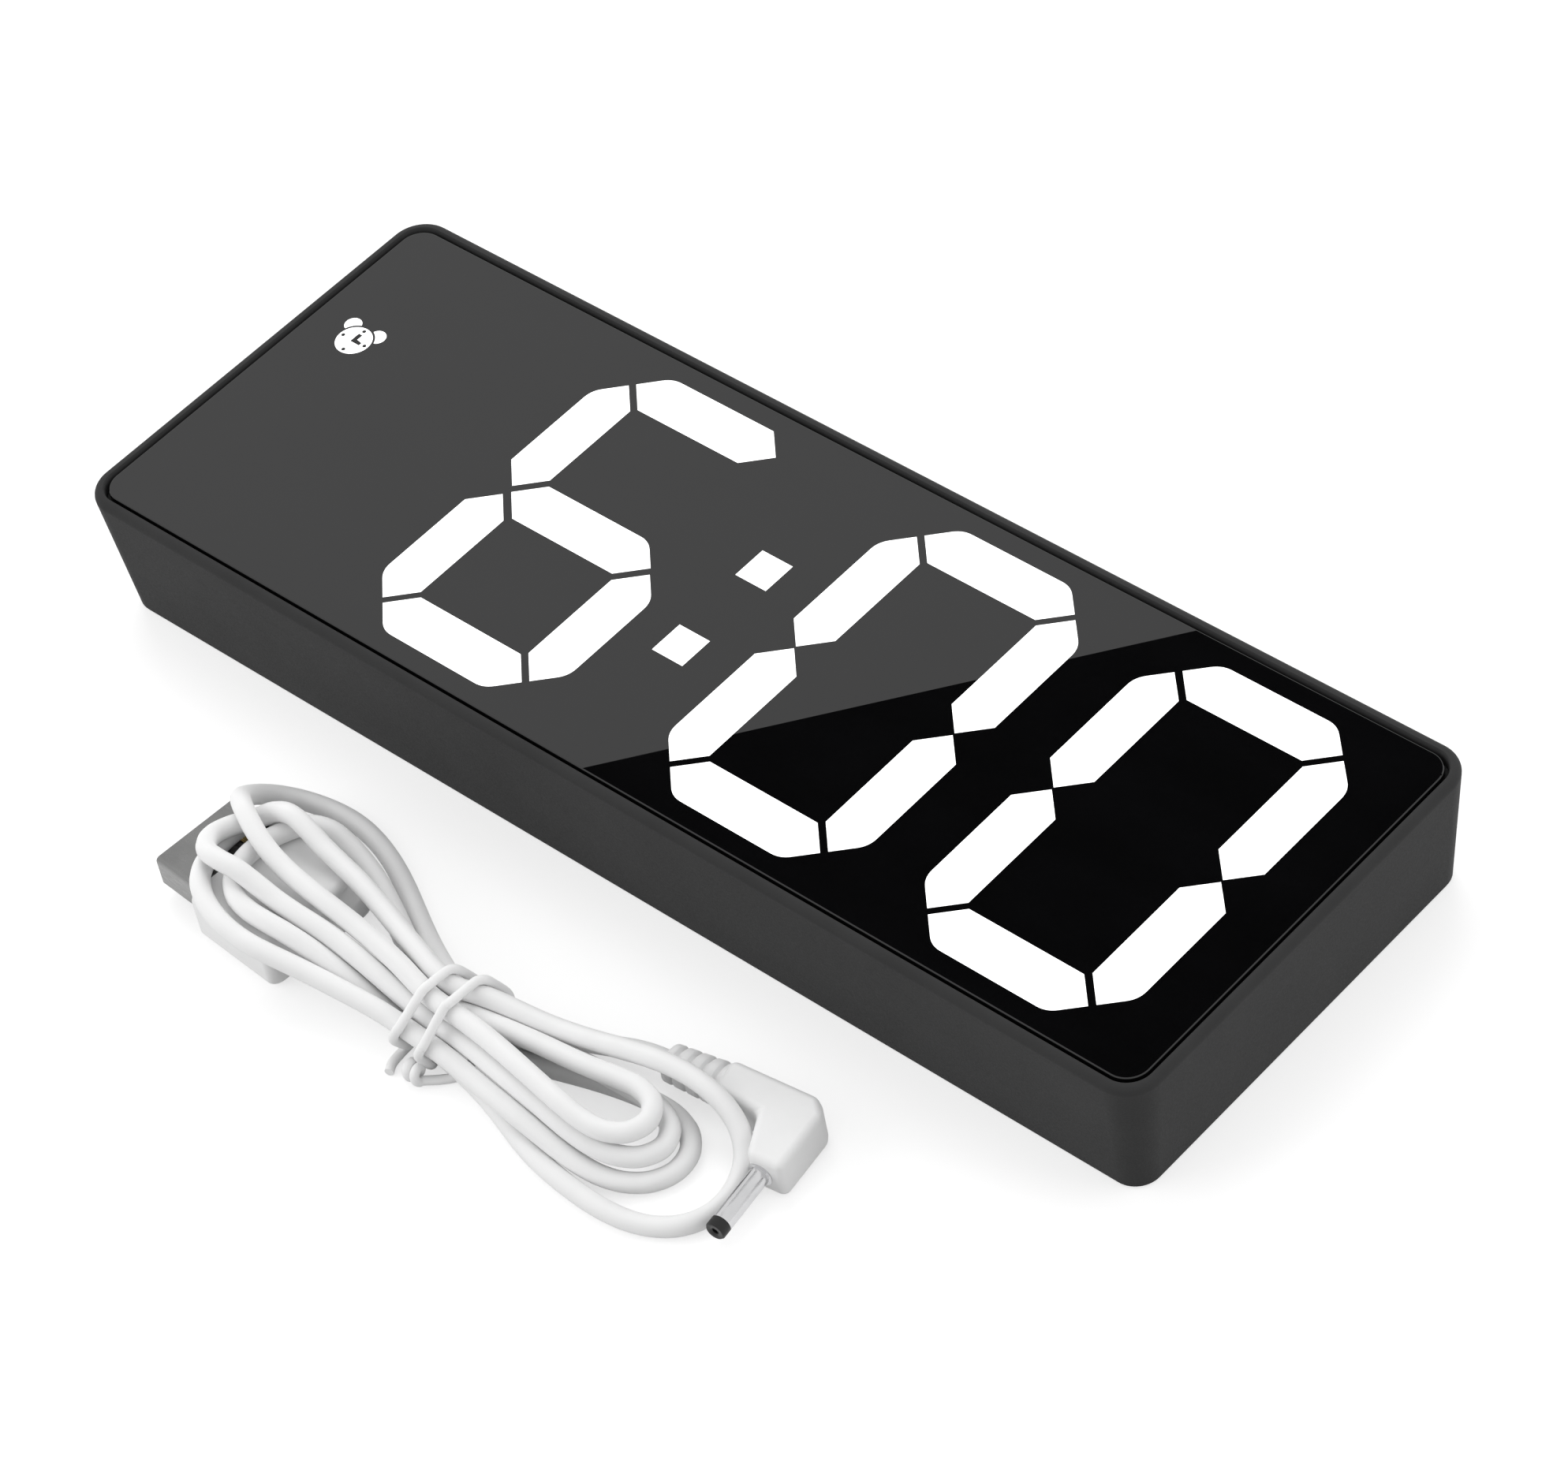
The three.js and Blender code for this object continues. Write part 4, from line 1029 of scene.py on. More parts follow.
@dataclass
class Face:
    """The mirror panel and everything lit behind it."""

    finishes: Finishes
    colon_x: float = -3.456
    colon_rise: float = 7
    colon_half: float = 2.3
    icon: Flat = (-70.608, 8.1)
    icon_dial: float = 2.3
    icon_bell: float = 1.1
    icon_gap: float = 0.3
    icon_bell_angle: float = 46
    hand_width: float = 0.6
    hand_depth: float = 0.1
    # Shares of the dial's radius
    hands_long: Flat = (0.5, 0.52)
    tick_reach: float = 0.78
    # Shares of half a hand's width
    hand_thin: float = 0.6
    tick_radius: float = 0.85
    ink: float = 0.002
    window_gap: float = 0.015
    lip: float = 0.22
    lip_steps: int = 4
    web_bottom: float = 10.2
    box_bottom: float = 11.0
    web_inset: float = 0.6
    web_corner: float = 0.5
    overrun: float = 1
    lit_rise: float = 0.004

    def figures(self) -> list[Figure]:
        """The three lit figures.

        Returns:
            The figures.
        """
        tops = (Place.TL, Place.TR, Place.BL, Place.BR)
        return [
            Figure("hour_guide", -25.6, "acdefg", (Place.TL, Place.BL, Place.BR, Place.MR), 0.82),
            Figure("minute_tens_guide", 19.136, "abcdef", tops, 0.18),
            Figure("minute_guide", 56.528, "abcdef", tops, 0.18),
        ]

    def sign_parts(self, grow: float, z0: float, z1: float) -> list[Piece]:
        """The parts of the alarm sign: its dial and two bells, which a gap parts from the dial.

        Args:
            grow: A clearance round each.
            z0: Their foot.
            z1: Their top.

        Returns:
            The parts.
        """
        x, y = self.icon
        parts = [pin("sign_dial", self.icon_dial + grow, z0, z1, self.icon)]
        gap = self.icon_dial + self.icon_gap - grow
        reach = self.icon_dial + self.icon_bell / 2
        for side in (-1, 1):
            turn = math.radians(side * self.icon_bell_angle)
            spot = (x + math.sin(turn) * reach, y + math.cos(turn) * reach)
            bell = pin(f"sign_bell_{side}", self.icon_bell + grow, z0, z1, spot, 40)
            dial = pin("sign_gap", gap, z0 - self.overrun, z1 + self.overrun, self.icon)
            parts.append(carved(bell, [dial]))
        return parts

    def dots(self, grow: float, z0: float, z1: float) -> list[Piece]:
        """The colon's two square dots.

        Args:
            grow: A clearance round each.
            z0: Their foot.
            z1: Their top.

        Returns:
            The dots.
        """
        half = self.colon_half + grow
        x, ys = self.colon_x, (-self.colon_rise, self.colon_rise)
        return [slab(f"dot_{y}", (x - half, y - half, z0), (x + half, y + half, z1)) for y in ys]

    def build_panel(self) -> None:
        """Makes the mirror panel with a window over each lit bar, dot and sign."""
        s = SHELL
        inset = s.recess_inset + FIT_GAP
        corner = s.front_corner - s.recess_inset
        rings = [s.level(inset, s.panel_bottom, corner)]
        for more, rise in quarter_round(self.lip, self.lip_steps):
            rings.append(s.level(inset + more, s.panel_top - self.lip + rise, corner - more))
        panel = lofted("smoked_panel", rings)
        low, high = s.panel_bottom - self.overrun, s.panel_top + self.overrun
        windows = [w for figure in self.figures() for w in figure.islands(self.window_gap, low, high)]
        windows += self.dots(self.window_gap, low, high) + self.sign_parts(self.window_gap, low, high)
        carved(panel, windows)
        settle(smooth(panel, 5), self.finishes.mirror, Slot.MIRROR, Body.CLOCK, "mirror_panel")

    def web(self, figure: Figure) -> Piece:
        """The clear web that joins a figure's bars from behind, in the shape of an eight.

        Args:
            figure: The figure.

        Returns:
            The web.
        """
        x, low, high = figure.x, self.web_bottom, self.box_bottom
        half_x = figure.width / 2 - self.web_inset
        half_y = figure.height / 2 - self.web_inset
        inner = figure.stroke - 2 * self.web_inset
        counters = []
        for side in (-1, 1):
            near, far = sorted((side * (figure.stroke / 2 - self.web_inset), side * (half_y - inner)))
            start = (x - half_x + inner, near, low - self.overrun)
            counters.append(slab("counter", start, (x + half_x - inner, far, high + self.overrun)))
        web = slab("web", (x - half_x, -half_y, low), (x + half_x, half_y, high), self.web_corner)
        return carved(web, counters)

    def build_guides(self) -> None:
        """Makes the light guides of the figures, the colon and the alarm sign, and the sign's hands."""
        low, top = self.web_bottom, SHELL.panel_top + self.lit_rise
        half = self.colon_half - self.web_inset
        x, rise = self.colon_x, self.colon_rise
        guides = [
            (f"{figure.node}_clear", [self.web(figure), *figure.islands(0, low, top)], figure.node)
            for figure in self.figures()
        ]
        bridge = slab("web", (x - half, -rise, low), (x + half, rise, self.box_bottom))
        guides.append(("colon_clear", [bridge, *self.dots(0, low, top)], "colon_guide"))
        guides.append(("alarm_sign_clear", self.sign_parts(0, low, top), "alarm_icon_guide"))
        for name, parts, node in guides:
            settle(smooth(joined(name, parts), 20), self.finishes.lit, Slot.LIT_GUIDE, Body.CLOCK, node)
        marks = self.sign_marks(SHELL.panel_top - self.hand_depth, top + self.ink)
        settle(joined("alarm_sign_hands", marks), self.finishes.black, Slot.BLACK_PLASTIC, Body.CLOCK)

    def sign_marks(self, z0: float, z1: float) -> list[Piece]:
        """The dark hands and hour marks printed on the sign's dial.

        Args:
            z0: Their foot.
            z1: Their top.

        Returns:
            The marks.
        """
        x, y = self.icon
        half, dial = self.hand_width / 2, self.icon_dial
        across, up = x + dial * self.hands_long[0], y + dial * self.hands_long[1]
        marks = [prism("hands", [
            (x - half, y - half), (across, y - half), (across, y + half * self.hand_thin),
            (x + half, y + half), (x + half, up), (x - half, up),
        ], z0, z1)]
        for quarter in range(4):
            turn, reach = quarter * TAU / 4, dial * self.tick_reach
            spot = (x + math.cos(turn) * reach, y + math.sin(turn) * reach)
            marks.append(pin("tick", half * self.tick_radius, z0, z1, spot, 16))
        return marks

    def build(self) -> None:
        """Makes the face and dresses the pieces that stay from the CAD behind it."""
        self.build_panel()
        self.build_guides()
        dress(self.finishes.unlit, "hour_tens_guide")
        dress(self.finishes.reflector, "light_box")
        dress(self.finishes.board, "display_board")


@dataclass
class BackWorks:
    """The rear cover with its screws, buttons, jack, sound holes and battery bay."""

    finishes: Finishes
    cover_thick: float = 2
    # The foot of the cover's edge, drawn in along X and Y, and the height where the edge is full
    foot_scale: Flat = (0.9975, 0.9935)
    foot_high: float = 0.15
    edge: float = 0.14
    overrun: float = 1
    post_spots: tuple[Flat, ...] = ((-61.408, -10.7), (-61.408, 10.7), (56.528, -10.7), (56.528, 10.7))
    post_radius: float = 4.1
    post_low: float = 1.2
    post_bore: float = 2.8
    board_bottom: float = 8.1
    screw_head: float = 1.8
    screw_top: float = 1.2
    screw_bore: float = 1.25
    screw_profile: tuple[Flat, ...] = (
        (1.45, 0.2), (1.68, 0.28), (1.8, 0.45), (1.8, 1.2), (0.95, 1.2), (0.95, 7.6), (0.5, 7.9),
    )
    screw_edge: float = 0.05
    # Half the slot's length, half its width and the height of its ground
    screw_slot: Point = (2.3, 0.3, 0.7)
    screw_turn: float = 25
    button_spots: tuple[Flat, ...] = ((19.5, 13), (32, 13), (44.5, 13))
    button_radius: float = 3
    button_profile: tuple[Flat, ...] = (
        (0, 0.42), (1.65, 0.38), (2.4, 0.31), (2.7, 0.3), (2.88, 0.35), (2.98, 0.47), (3, 0.65),
        (3, 2.3), (4.2, 2.3), (4.2, 3.1), (1.5, 3.1), (1.5, 4.1), (0, 4.1),
    )
    dish_depth: float = 1
    dish_radius: float = 5
    jack: Flat = (19.136, -10.7)
    jack_half: float = 3.3
    jack_heights: Flat = (2.3, 10.6)
    jack_corner: float = 0.4
    jack_edge: float = 0.12
    jack_nose: float = 2.7
    jack_bore: float = 1.45
    jack_low: float = 0.4
    jack_deep: float = 8.8
    nose_chamfer: float = 0.2
    pin_profile: tuple[Flat, ...] = ((0.2, 1.3), (0.5, 1.7), (0.55, 2.0), (0.55, 9.0))
    spring_reach: Flat = (-0.45, 0.1)
    spring_half: float = 0.6
    spring_heights: Flat = (1.6, 8.4)
    spring_corner: float = 0.1
    buzzer: Flat = (37.832, -12)
    sound_hole: float = 0.6
    sound_ring: float = 2.4
    sound_holes: int = 6
    bay_x: float = -25.6
    bay_half: float = 11.9
    bay_start: float = -15.1
    bay_end: float = 12.9
    bay_top: float = 5
    bay_corner: float = 0.6
    hinge_y: float = -13.6
    hinge_z: float = 1.5
    hinge_radius: float = 1.2
    hinge_soft: float = 0.12
    hinge_pin: float = 0.65
    hinge_pin_out: float = 1.5
    ear_wide: float = 2.6
    ear_half: float = 1.5
    ear_low: float = 1
    ear_high: float = 3.4
    door_low: float = 0.3
    door_high: float = 1.9
    door_corner: float = 0.5
    grip_half: float = 4.5
    # Each hollow of the finger grip: its start before the door's end, its width, depth and corner radius
    grip_hollows: tuple[tuple[float, float, float, float], ...] = (
        (4.0, 2.4, 0.7, 0.7), (5.6, 0.5, 0.25, 0.2), (6.8, 0.5, 0.25, 0.2), (8.0, 0.5, 0.25, 0.2),
    )
    cell_profile: tuple[Flat, ...] = (
        (0, 2.4), (9.35, 2.4), (9.53, 2.45), (9.6, 2.56), (9.6, 2.7), (9.85, 2.74), (9.96, 2.82),
        (10, 2.96), (10, 5.35), (9.92, 5.52), (9.75, 5.6), (0, 5.6),
    )

    def pillars(self) -> list[Piece]:
        """The solids that stand on the cover's plate: the screw posts and the ears of the hinge.

        Returns:
            The solids.
        """
        solids = [
            pin("pillar", self.post_radius, self.post_low, self.board_bottom, spot, 32)
            for spot in self.post_spots
        ]
        for side in (-1, 1):
            near, far = sorted(self.bay_x + side * (self.bay_half + wide) for wide in (0, self.ear_wide))
            low = (near, self.hinge_y - self.ear_half, self.ear_low)
            solids.append(slab("ear", low, (far, self.hinge_y + self.ear_half, self.ear_high)))
        return solids

    def openings(self) -> list[Piece]:
        """The solids cut out of the cover: bay, dish, and the holes of buttons, jack, sound and screws.

        Returns:
            The solids.
        """
        under, over = -self.overrun, self.cover_thick + self.overrun
        low = (self.bay_x - self.bay_half, self.bay_start, under)
        cuts = [slab("bay", low, (self.bay_x + self.bay_half, self.bay_end, self.bay_top), self.bay_corner)]
        first, last, dish = self.button_spots[0], self.button_spots[-1], self.dish_radius
        high = (last[0] + dish, last[1] + dish, self.dish_depth)
        cuts.append(slab("dish", (first[0] - dish, first[1] - dish, under), high, dish - 0.01, 16))
        (x, y), reach = self.buzzer, self.sound_ring
        turns = [hole / self.sound_holes * TAU for hole in range(self.sound_holes)]
        ring = [(x + reach * math.cos(turn), y + reach * math.sin(turn)) for turn in turns]
        rounds = (
            (self.button_radius + FIT_GAP, self.button_spots, 48),
            (self.jack_nose + FIT_GAP, (self.jack,), 48),
            (self.sound_hole, (self.buzzer, *ring), 24),
        )
        for radius, spots, sides in rounds:
            cuts += [pin("hole", radius, under, over, spot, sides) for spot in spots]
        head, sink, bore = self.screw_head + FIT_GAP, self.screw_top, self.screw_bore
        post_end = self.board_bottom + self.overrun
        for spot in self.post_spots:
            profile = [(head, under), (head, sink), (bore, sink), (bore, over)]
            cuts.append(turned("screw_hole", profile, spot))
            cuts.append(pin("bore", self.post_bore, self.cover_thick, post_end, spot, 32))
        return cuts

    def build_cover(self) -> None:
        """Makes the rear cover, whose outer edge is drawn in at its foot."""
        edge = SHELL.ring(0, SHELL.wall + FIT_GAP)
        levels = ((0, self.foot_scale), (self.foot_high, (1, 1)), (self.cover_thick, (1, 1)))
        rings = [[(x * along, y * across, z) for x, y, _ in edge] for z, (along, across) in levels]
        cover = lofted("back_cover", rings)
        carved(cover, self.pillars(), Cut.ONTO)
        carved(cover, self.openings())
        smooth(softened(cover, self.edge))
        settle(cover, self.finishes.cover, Slot.HOUSING, Body.CLOCK, "rear_cover")

    def build_screws(self) -> None:
        """Makes the four slotted screws."""
        reach, half, deep = self.screw_slot
        for number, (x, y) in enumerate(self.post_spots, 1):
            screw = turned(f"cover_screw_{number}", self.screw_profile, (x, y))
            slot = slab("slot", (-reach, -half, -self.overrun), (reach, half, deep))
            turn = Matrix.Rotation(math.radians(self.screw_turn * number), 4, "Z")
            slot.data.transform(Matrix.Translation((x * MM, y * MM, 0)) @ turn)
            smooth(softened(carved(screw, [slot]), self.screw_edge))
            settle(screw, self.finishes.steel, Slot.STEEL, Body.CLOCK, f"screw_{number}")

    def build_buttons(self) -> None:
        """Makes the three rear buttons."""
        for body, spot in zip((Body.MODE, Body.UP, Body.DOWN), self.button_spots):
            cap = smooth(turned(f"{body.value}_cap", self.button_profile, spot, 56))
            settle(cap, self.finishes.button, Slot.BUTTON, body, f"{body.value}_button")

    def build_jack(self) -> None:
        """Makes the power jack with its metal pin and spring."""
        x, y = self.jack
        half, (back, top) = self.jack_half, self.jack_heights
        block = slab("jack_body", (x - half, y - half, back), (x + half, y + half, top), self.jack_corner)
        nose, low, deep, soft = self.jack_nose, self.jack_low, self.jack_deep, self.nose_chamfer
        profile = [(nose - soft, low), (nose, low + soft), (nose, deep)]
        carved(block, [turned("nose", profile, self.jack)], Cut.ONTO)
        carved(block, [pin("bore", self.jack_bore, low - self.overrun, deep, self.jack)])
        block.name = "power_jack_body"
        smooth(softened(block, self.jack_edge))
        settle(block, self.finishes.black, Slot.BLACK_PLASTIC, Body.CLOCK, "dc_jack")
        post = smooth(turned("power_jack_pin", self.pin_profile, self.jack, 24), 32)
        start, end = (x + self.jack_bore + reach for reach in self.spring_reach)
        foot, head = self.spring_heights
        half, corner = self.spring_half, self.spring_corner
        spring = slab("power_jack_spring", (start, y - half, foot), (end, y + half, head), corner)
        for metal in (post, spring):
            settle(metal, self.finishes.barrel, Slot.PLUG_METAL, Body.CLOCK)

    def build_door(self) -> None:
        """Makes the battery door on its hinge barrel, with a ridged finger grip."""
        x, y, low = self.bay_x, self.hinge_y, self.door_low
        half, end = self.bay_half - FIT_GAP, self.bay_end - FIT_GAP
        plate = slab("door_plate", (x - half, y, low), (x + half, end, self.door_high), self.door_corner)
        place = Matrix.Translation((x * MM, y * MM, self.hinge_z * MM)) @ Matrix.Rotation(TAU / 4, 4, "Y")
        rods = []
        for radius, reach in ((self.hinge_radius, half), (self.hinge_pin, half + self.hinge_pin_out)):
            thin, full = radius - self.hinge_soft, reach - self.hinge_soft
            rod = turned("rod", [(thin, -reach), (radius, -full), (radius, full), (thin, reach)])
            rod.data.transform(place)
            rods.append(rod)
        carved(plate, rods, Cut.ONTO)
        hollows = []
        for start, wide, deep, corner in self.grip_hollows:
            high = (x + self.grip_half, end - start + wide, low + deep)
            hollows.append(slab("hollow", (x - self.grip_half, end - start, -self.overrun), high, corner))
        carved(plate, hollows)
        plate.name = "battery_lid"
        smooth(softened(plate, self.edge))
        settle(plate, self.finishes.cover, Slot.HOUSING, Body.DOOR, "battery_door")

    def build_cell(self) -> None:
        """Makes the coin cell, a can with rolled edges and a stepped face towards the door."""
        cell = smooth(turned("coin_cell_can", self.cell_profile, (self.bay_x, 0), 96))
        settle(cell, self.finishes.cell, Slot.STEEL, Body.CLOCK, "coin_cell")

    def build(self) -> None:
        """Makes the back's pieces and dresses those that stay from the CAD inside."""
        self.build_cover()
        self.build_screws()
        self.build_buttons()
        self.build_jack()
        self.build_door()
        self.build_cell()
        dress(self.finishes.steel, "cell_contact")
        dress(self.finishes.black, "cell_holder", "buzzer", "controller_chip")
        dress(self.finishes.black, "mode_switch", "up_switch", "down_switch")
        dress(self.finishes.plunger, "mode_plunger", "up_plunger", "down_plunger")


@dataclass
class SnoozeKey:
    """The long key in the clock's top side, and its plunger and switch."""

    finishes: Finishes
    x: float = -3.456
    half: float = 19.7
    low: float = 5.301
    high: float = 9
    flange_y: float = 24.9
    out: float = 29
    flange_reach: float = 1.1
    flange_thick: float = 1
    edge: float = 0.45

    def build(self) -> None:
        """Makes the key and dresses what lies behind it."""
        near, far, back, reach = self.x - self.half, self.x + self.half, self.flange_y, self.flange_reach
        key = slab("snooze_key", (near, back, self.low), (far, self.out, self.high))
        high = (far + reach, back + self.flange_thick, self.high + reach - FIT_GAP)
        flange = slab("flange", (near - reach, back, self.low - reach), high)
        smooth(softened(carved(key, [flange], Cut.ONTO), self.edge, 4))
        settle(key, self.finishes.button, Slot.BUTTON, Body.SNOOZE, "snooze_bar")
        dress(self.finishes.plunger, "snooze_plunger")
        dress(self.finishes.black, "snooze_switch")


@dataclass(frozen=True)
class Block:
    """A soft-edged box, in the frame of the plug that it stands for."""

    centre: Point
    half: Point
    edge: float = 0.9
    gap: float = 0.04
    least: float = 1e-6

    def cleared(self, local: np.ndarray, radius: float) -> np.ndarray:
        """Moves points that come too near out of the box.

        Args:
            local: The points in the plug's frame.
            radius: How far from the surface they have to stay.

        Returns:
            The moved points.
        """
        centre, core = np.array(self.centre), np.array(self.half) - self.edge
        off = local - centre
        nearest = np.clip(off, -core, core)
        out = off - nearest
        reach = np.linalg.norm(out, axis=1, keepdims=True)
        inside = reach[:, 0] < self.least
        out[inside] = (0, 0, 1)
        nearest[inside, 2] = core[2]
        reach[inside] = 1
        need = radius + self.edge + self.gap
        hit = inside | (reach[:, 0] < need)
        moved = local.copy()
        moved[hit] = (centre + nearest + out / reach * need)[hit]
        return moved


@dataclass(frozen=True)
class Solid:
    """A plug as the cord feels it: boxes in a turned frame."""

    at: Flat
    lean: float
    blocks: tuple[Block, ...]

    def cleared(self, points: np.ndarray, radius: float) -> np.ndarray:
        """Moves the cord's points out of the plug.

        Args:
            points: The points.
            radius: The cord's radius.

        Returns:
            The moved points.
        """
        c, s = math.cos(math.radians(self.lean)), math.sin(math.radians(self.lean))
        spin = np.array([[c, s, 0], [-s, c, 0], [0, 0, 1]])
        origin = np.array([*self.at, 0])
        local = (points - origin) @ spin.T
        for block in self.blocks:
            local = block.cleared(local, radius)
        return local @ spin + origin


@dataclass
class CordRoute:
    """The cord's centre line: listed loops, pushed apart until the cord lies on and beside itself."""

    radius: float
    spacing: float = 1.4
    fine_steps: int = 12
    rounds: int = 400
    # The share of the rounds in which the cord is drawn home, sags and straightens
    loose_share: float = 0.8
    homing: float = 0.03
    sag: float = 0.015
    straighten: float = 0.06
    stiffness: float = 0.09
    slack: float = 0.1
    least_bend: float = 3.6
    opening: float = 0.3
    # How far along the cord two points have to be to count as two strands
    apart: float = 4.3
    stretch_share: float = 0.45
    waist_hold: float = 0.5
    waist_reach: float = 3.2
    pinned: int = 4
    in_flat: int = 6
    in_angled: int = 8
    least: float = 1e-6

    WAIST_X = 1.0
    # Where each strand passes the waist, in the order in which the cord gets there: Y and height
    SLOTS = (
        (-54.95, 2.28), (-58.75, 4.48), (-52.35, 2.28), (-56.2, 4.48), (-52.4, 6.68),
        (-57.5, 2.28), (-53.65, 4.48), (-54.95, 6.68), (-51.1, 4.48),
    )
    START = (
        (-18.5, -53.6, 3.8), (-15.5, -53.81, 3.8), (-12.5, -54.0, 3.75), (-8, -54.4, 3.3),
        (-3, -54.8, 2.6),
    )
    # The loops between two passes of the waist, right and left in turn
    LOOPS = (
        (
            (5, -54.4, 2.0), (10, -53.2, 1.6), (16, -51.4, 1.3), (22, -49.8, 1.25),
            (27.5, -49.0, 1.25), (32, -49.1, 1.25), (35.3, -51.2, 1.3), (35.8, -54.8, 1.4),
            (33.4, -58.2, 1.8), (29, -60.1, 2.3), (23.5, -60.4, 3.0), (17, -59.8, 3.6),
            (9, -58.9, 4.0),
        ),
        (
            (-5, -58.9, 5.2), (-11, -59.7, 6.6), (-17, -60.9, 7.8), (-23, -61.5, 8.2),
            (-28, -61.1, 7.9), (-32.6, -58.6, 7.2), (-34.5, -54.2, 6.5), (-34.1, -49.6, 5.5),
            (-31.4, -46.1, 4.0), (-27, -44.5, 2.1), (-21.5, -44.6, 1.3), (-16, -46.0, 1.25),
            (-10, -48.8, 1.25), (-5, -51.0, 1.6),
        ),
        (
            (5, -52.0, 2.7), (10, -51.4, 3.3), (16, -50.9, 3.7), (22, -50.2, 3.7), (27.5, -50.1, 3.7),
            (32, -51.1, 3.8), (34.3, -53.7, 3.9), (32.6, -56.7, 4.2), (27.8, -58.5, 4.7),
            (21.5, -58.6, 5.2), (15, -57.6, 5.4), (8, -56.7, 5.0),
        ),
        (
            (-5, -55.6, 6.0), (-11, -55.4, 7.6), (-17, -55.9, 8.8), (-23, -56.5, 9.2),
            (-29, -56.5, 9.3), (-33.7, -54.6, 9.0), (-35.2, -51.4, 8.8), (-33.1, -48.6, 9.0),
            (-28.6, -47.5, 9.4), (-23, -47.6, 9.1), (-17, -48.2, 8.6), (-11, -49.5, 8.0),
            (-5, -51.1, 7.2),
        ),
        (
            (5, -51.9, 6.7), (10, -51.0, 6.6), (16, -49.7, 6.5), (22, -48.3, 6.8), (28, -47.2, 7.6),
            (33, -46.7, 7.2), (37.8, -47.1, 5.4), (41.2, -48.9, 3.2), (42.9, -52.3, 1.7),
            (42.9, -56.6, 1.3), (40.4, -60.4, 1.25), (35.5, -62.5, 1.25), (29, -62.8, 1.25),
            (22, -61.5, 1.3), (15, -59.6, 1.4), (8, -58.2, 1.7),
        ),
        (
            (-5, -57.4, 3.4), (-11, -57.7, 6.2), (-17, -58.5, 8.7), (-22.5, -58.9, 8.85),
            (-27, -57.8, 8.85), (-29.8, -54.4, 8.85), (-29.7, -50.3, 8.85), (-27.3, -46.8, 7.9),
            (-23.3, -45.1, 5.5), (-18, -45.5, 3.9), (-12, -47.7, 3.8), (-6, -50.3, 4.3),
        ),
        (
            (6, -53.1, 5.8), (12, -52.6, 6.4), (18, -52.2, 6.5), (24, -51.5, 6.4), (29, -51.2, 6.5),
            (32.3, -52.9, 6.6), (31.6, -55.8, 6.7), (27.4, -57.5, 7.0), (21.5, -57.6, 7.3),
            (15.5, -56.5, 7.4), (9, -55.5, 7.1),
        ),
        (
            (-5, -54, 7.3), (-11, -53.2, 8.4), (-17, -53.0, 9.4), (-23, -52.8, 10.4),
            (-28.5, -51.9, 11.0), (-33.4, -49.8, 10.4), (-36.9, -46.6, 8.2), (-37.8, -43.0, 5.2),
            (-35.4, -39.9, 2.6), (-30.5, -38.5, 1.4), (-24.5, -39.1, 1.3), (-18, -41.6, 1.4),
            (-11.5, -45.2, 2.2), (-5, -48.7, 3.4),
        ),
    )
    END = (
        (5, -50.6, 4.0), (9, -49.6, 3.0), (13.5, -47.9, 2.0), (18, -46.1, 1.9), (21.5, -45.2, 2.4),
        (24.3, -44.68, 2.7), (26.9, -44.32, 2.7),
    )

    FLAT = Solid(FLAT_AT, FLAT_LEAN, (
        Block((-6.25, 0, 3.8), (6.35, 7.75, 3.8)), Block((-16.8, 0, 3.8), (4.4, 6.0, 2.25)),
    ))
    ANGLED = Solid(ANGLED_AT, ANGLED_LEAN, (
        Block((3.8, 0, 2.7), (3.8, 2.45, 2.45)), Block((13.7, -0.4, 2.7), (6.6, 2.4, 2.7)),
        Block((18.1, -3.4, 2.7), (2.2, 5.0, 2.7)), Block((17.2, -12.7, 2.7), (1.2, 4.5, 1.2)),
    ))

    def control(self) -> np.ndarray:
        """The listed points.

        Returns:
            The points from end to end.
        """
        points = list(self.START)
        for (y, z), loop in zip(self.SLOTS, self.LOOPS):
            points += [(self.WAIST_X, y, z), *loop]
        y, z = self.SLOTS[-1]
        return np.array([*points, (self.WAIST_X, y, z), *self.END], float)

    def resampled(self, points: np.ndarray) -> np.ndarray:
        """Points at even distances along a smooth curve through others.

        Args:
            points: The points that the curve passes.

        Returns:
            The new points.
        """
        ends = np.vstack([2 * points[0] - points[1], points, 2 * points[-1] - points[-2]])
        fine = []
        for i in range(1, len(ends) - 2):
            p0, p1, p2, p3 = ends[i - 1:i + 3]
            bend = (2 * p1, p2 - p0, 2 * p0 - 5 * p1 + 4 * p2 - p3, 3 * p1 - p0 - 3 * p2 + p3)
            for t in np.linspace(0, 1, self.fine_steps, endpoint=False):
                fine.append(0.5 * sum(term * t ** power for power, term in enumerate(bend)))
        fine = np.array([*fine, points[-1]])
        run = np.concatenate([[0], np.cumsum(np.linalg.norm(np.diff(fine, axis=0), axis=1))])
        count = int(round(run[-1] / self.spacing))
        marks = np.linspace(0, run[-1], count + 1)
        return np.column_stack([np.interp(marks, run, fine[:, k]) for k in range(3)])

    def parted(self, p: np.ndarray, pairs: np.ndarray) -> None:
        """Pushes strands that lie in one another apart.

        Args:
            p: The points, which are moved.
            pairs: The pairs of points that lie on different strands, each once.
        """
        need = 2 * self.radius + self.slack
        off = p[:, None, :] - p[None, :, :]
        size = np.sqrt((off ** 2).sum(axis=2))
        rows, columns = np.nonzero(pairs & (size < need))
        near = np.maximum(size[rows, columns], self.least)[:, None]
        push = off[rows, columns] / near * (need - near) / 2
        np.add.at(p, rows, push)
        np.add.at(p, columns, -push)

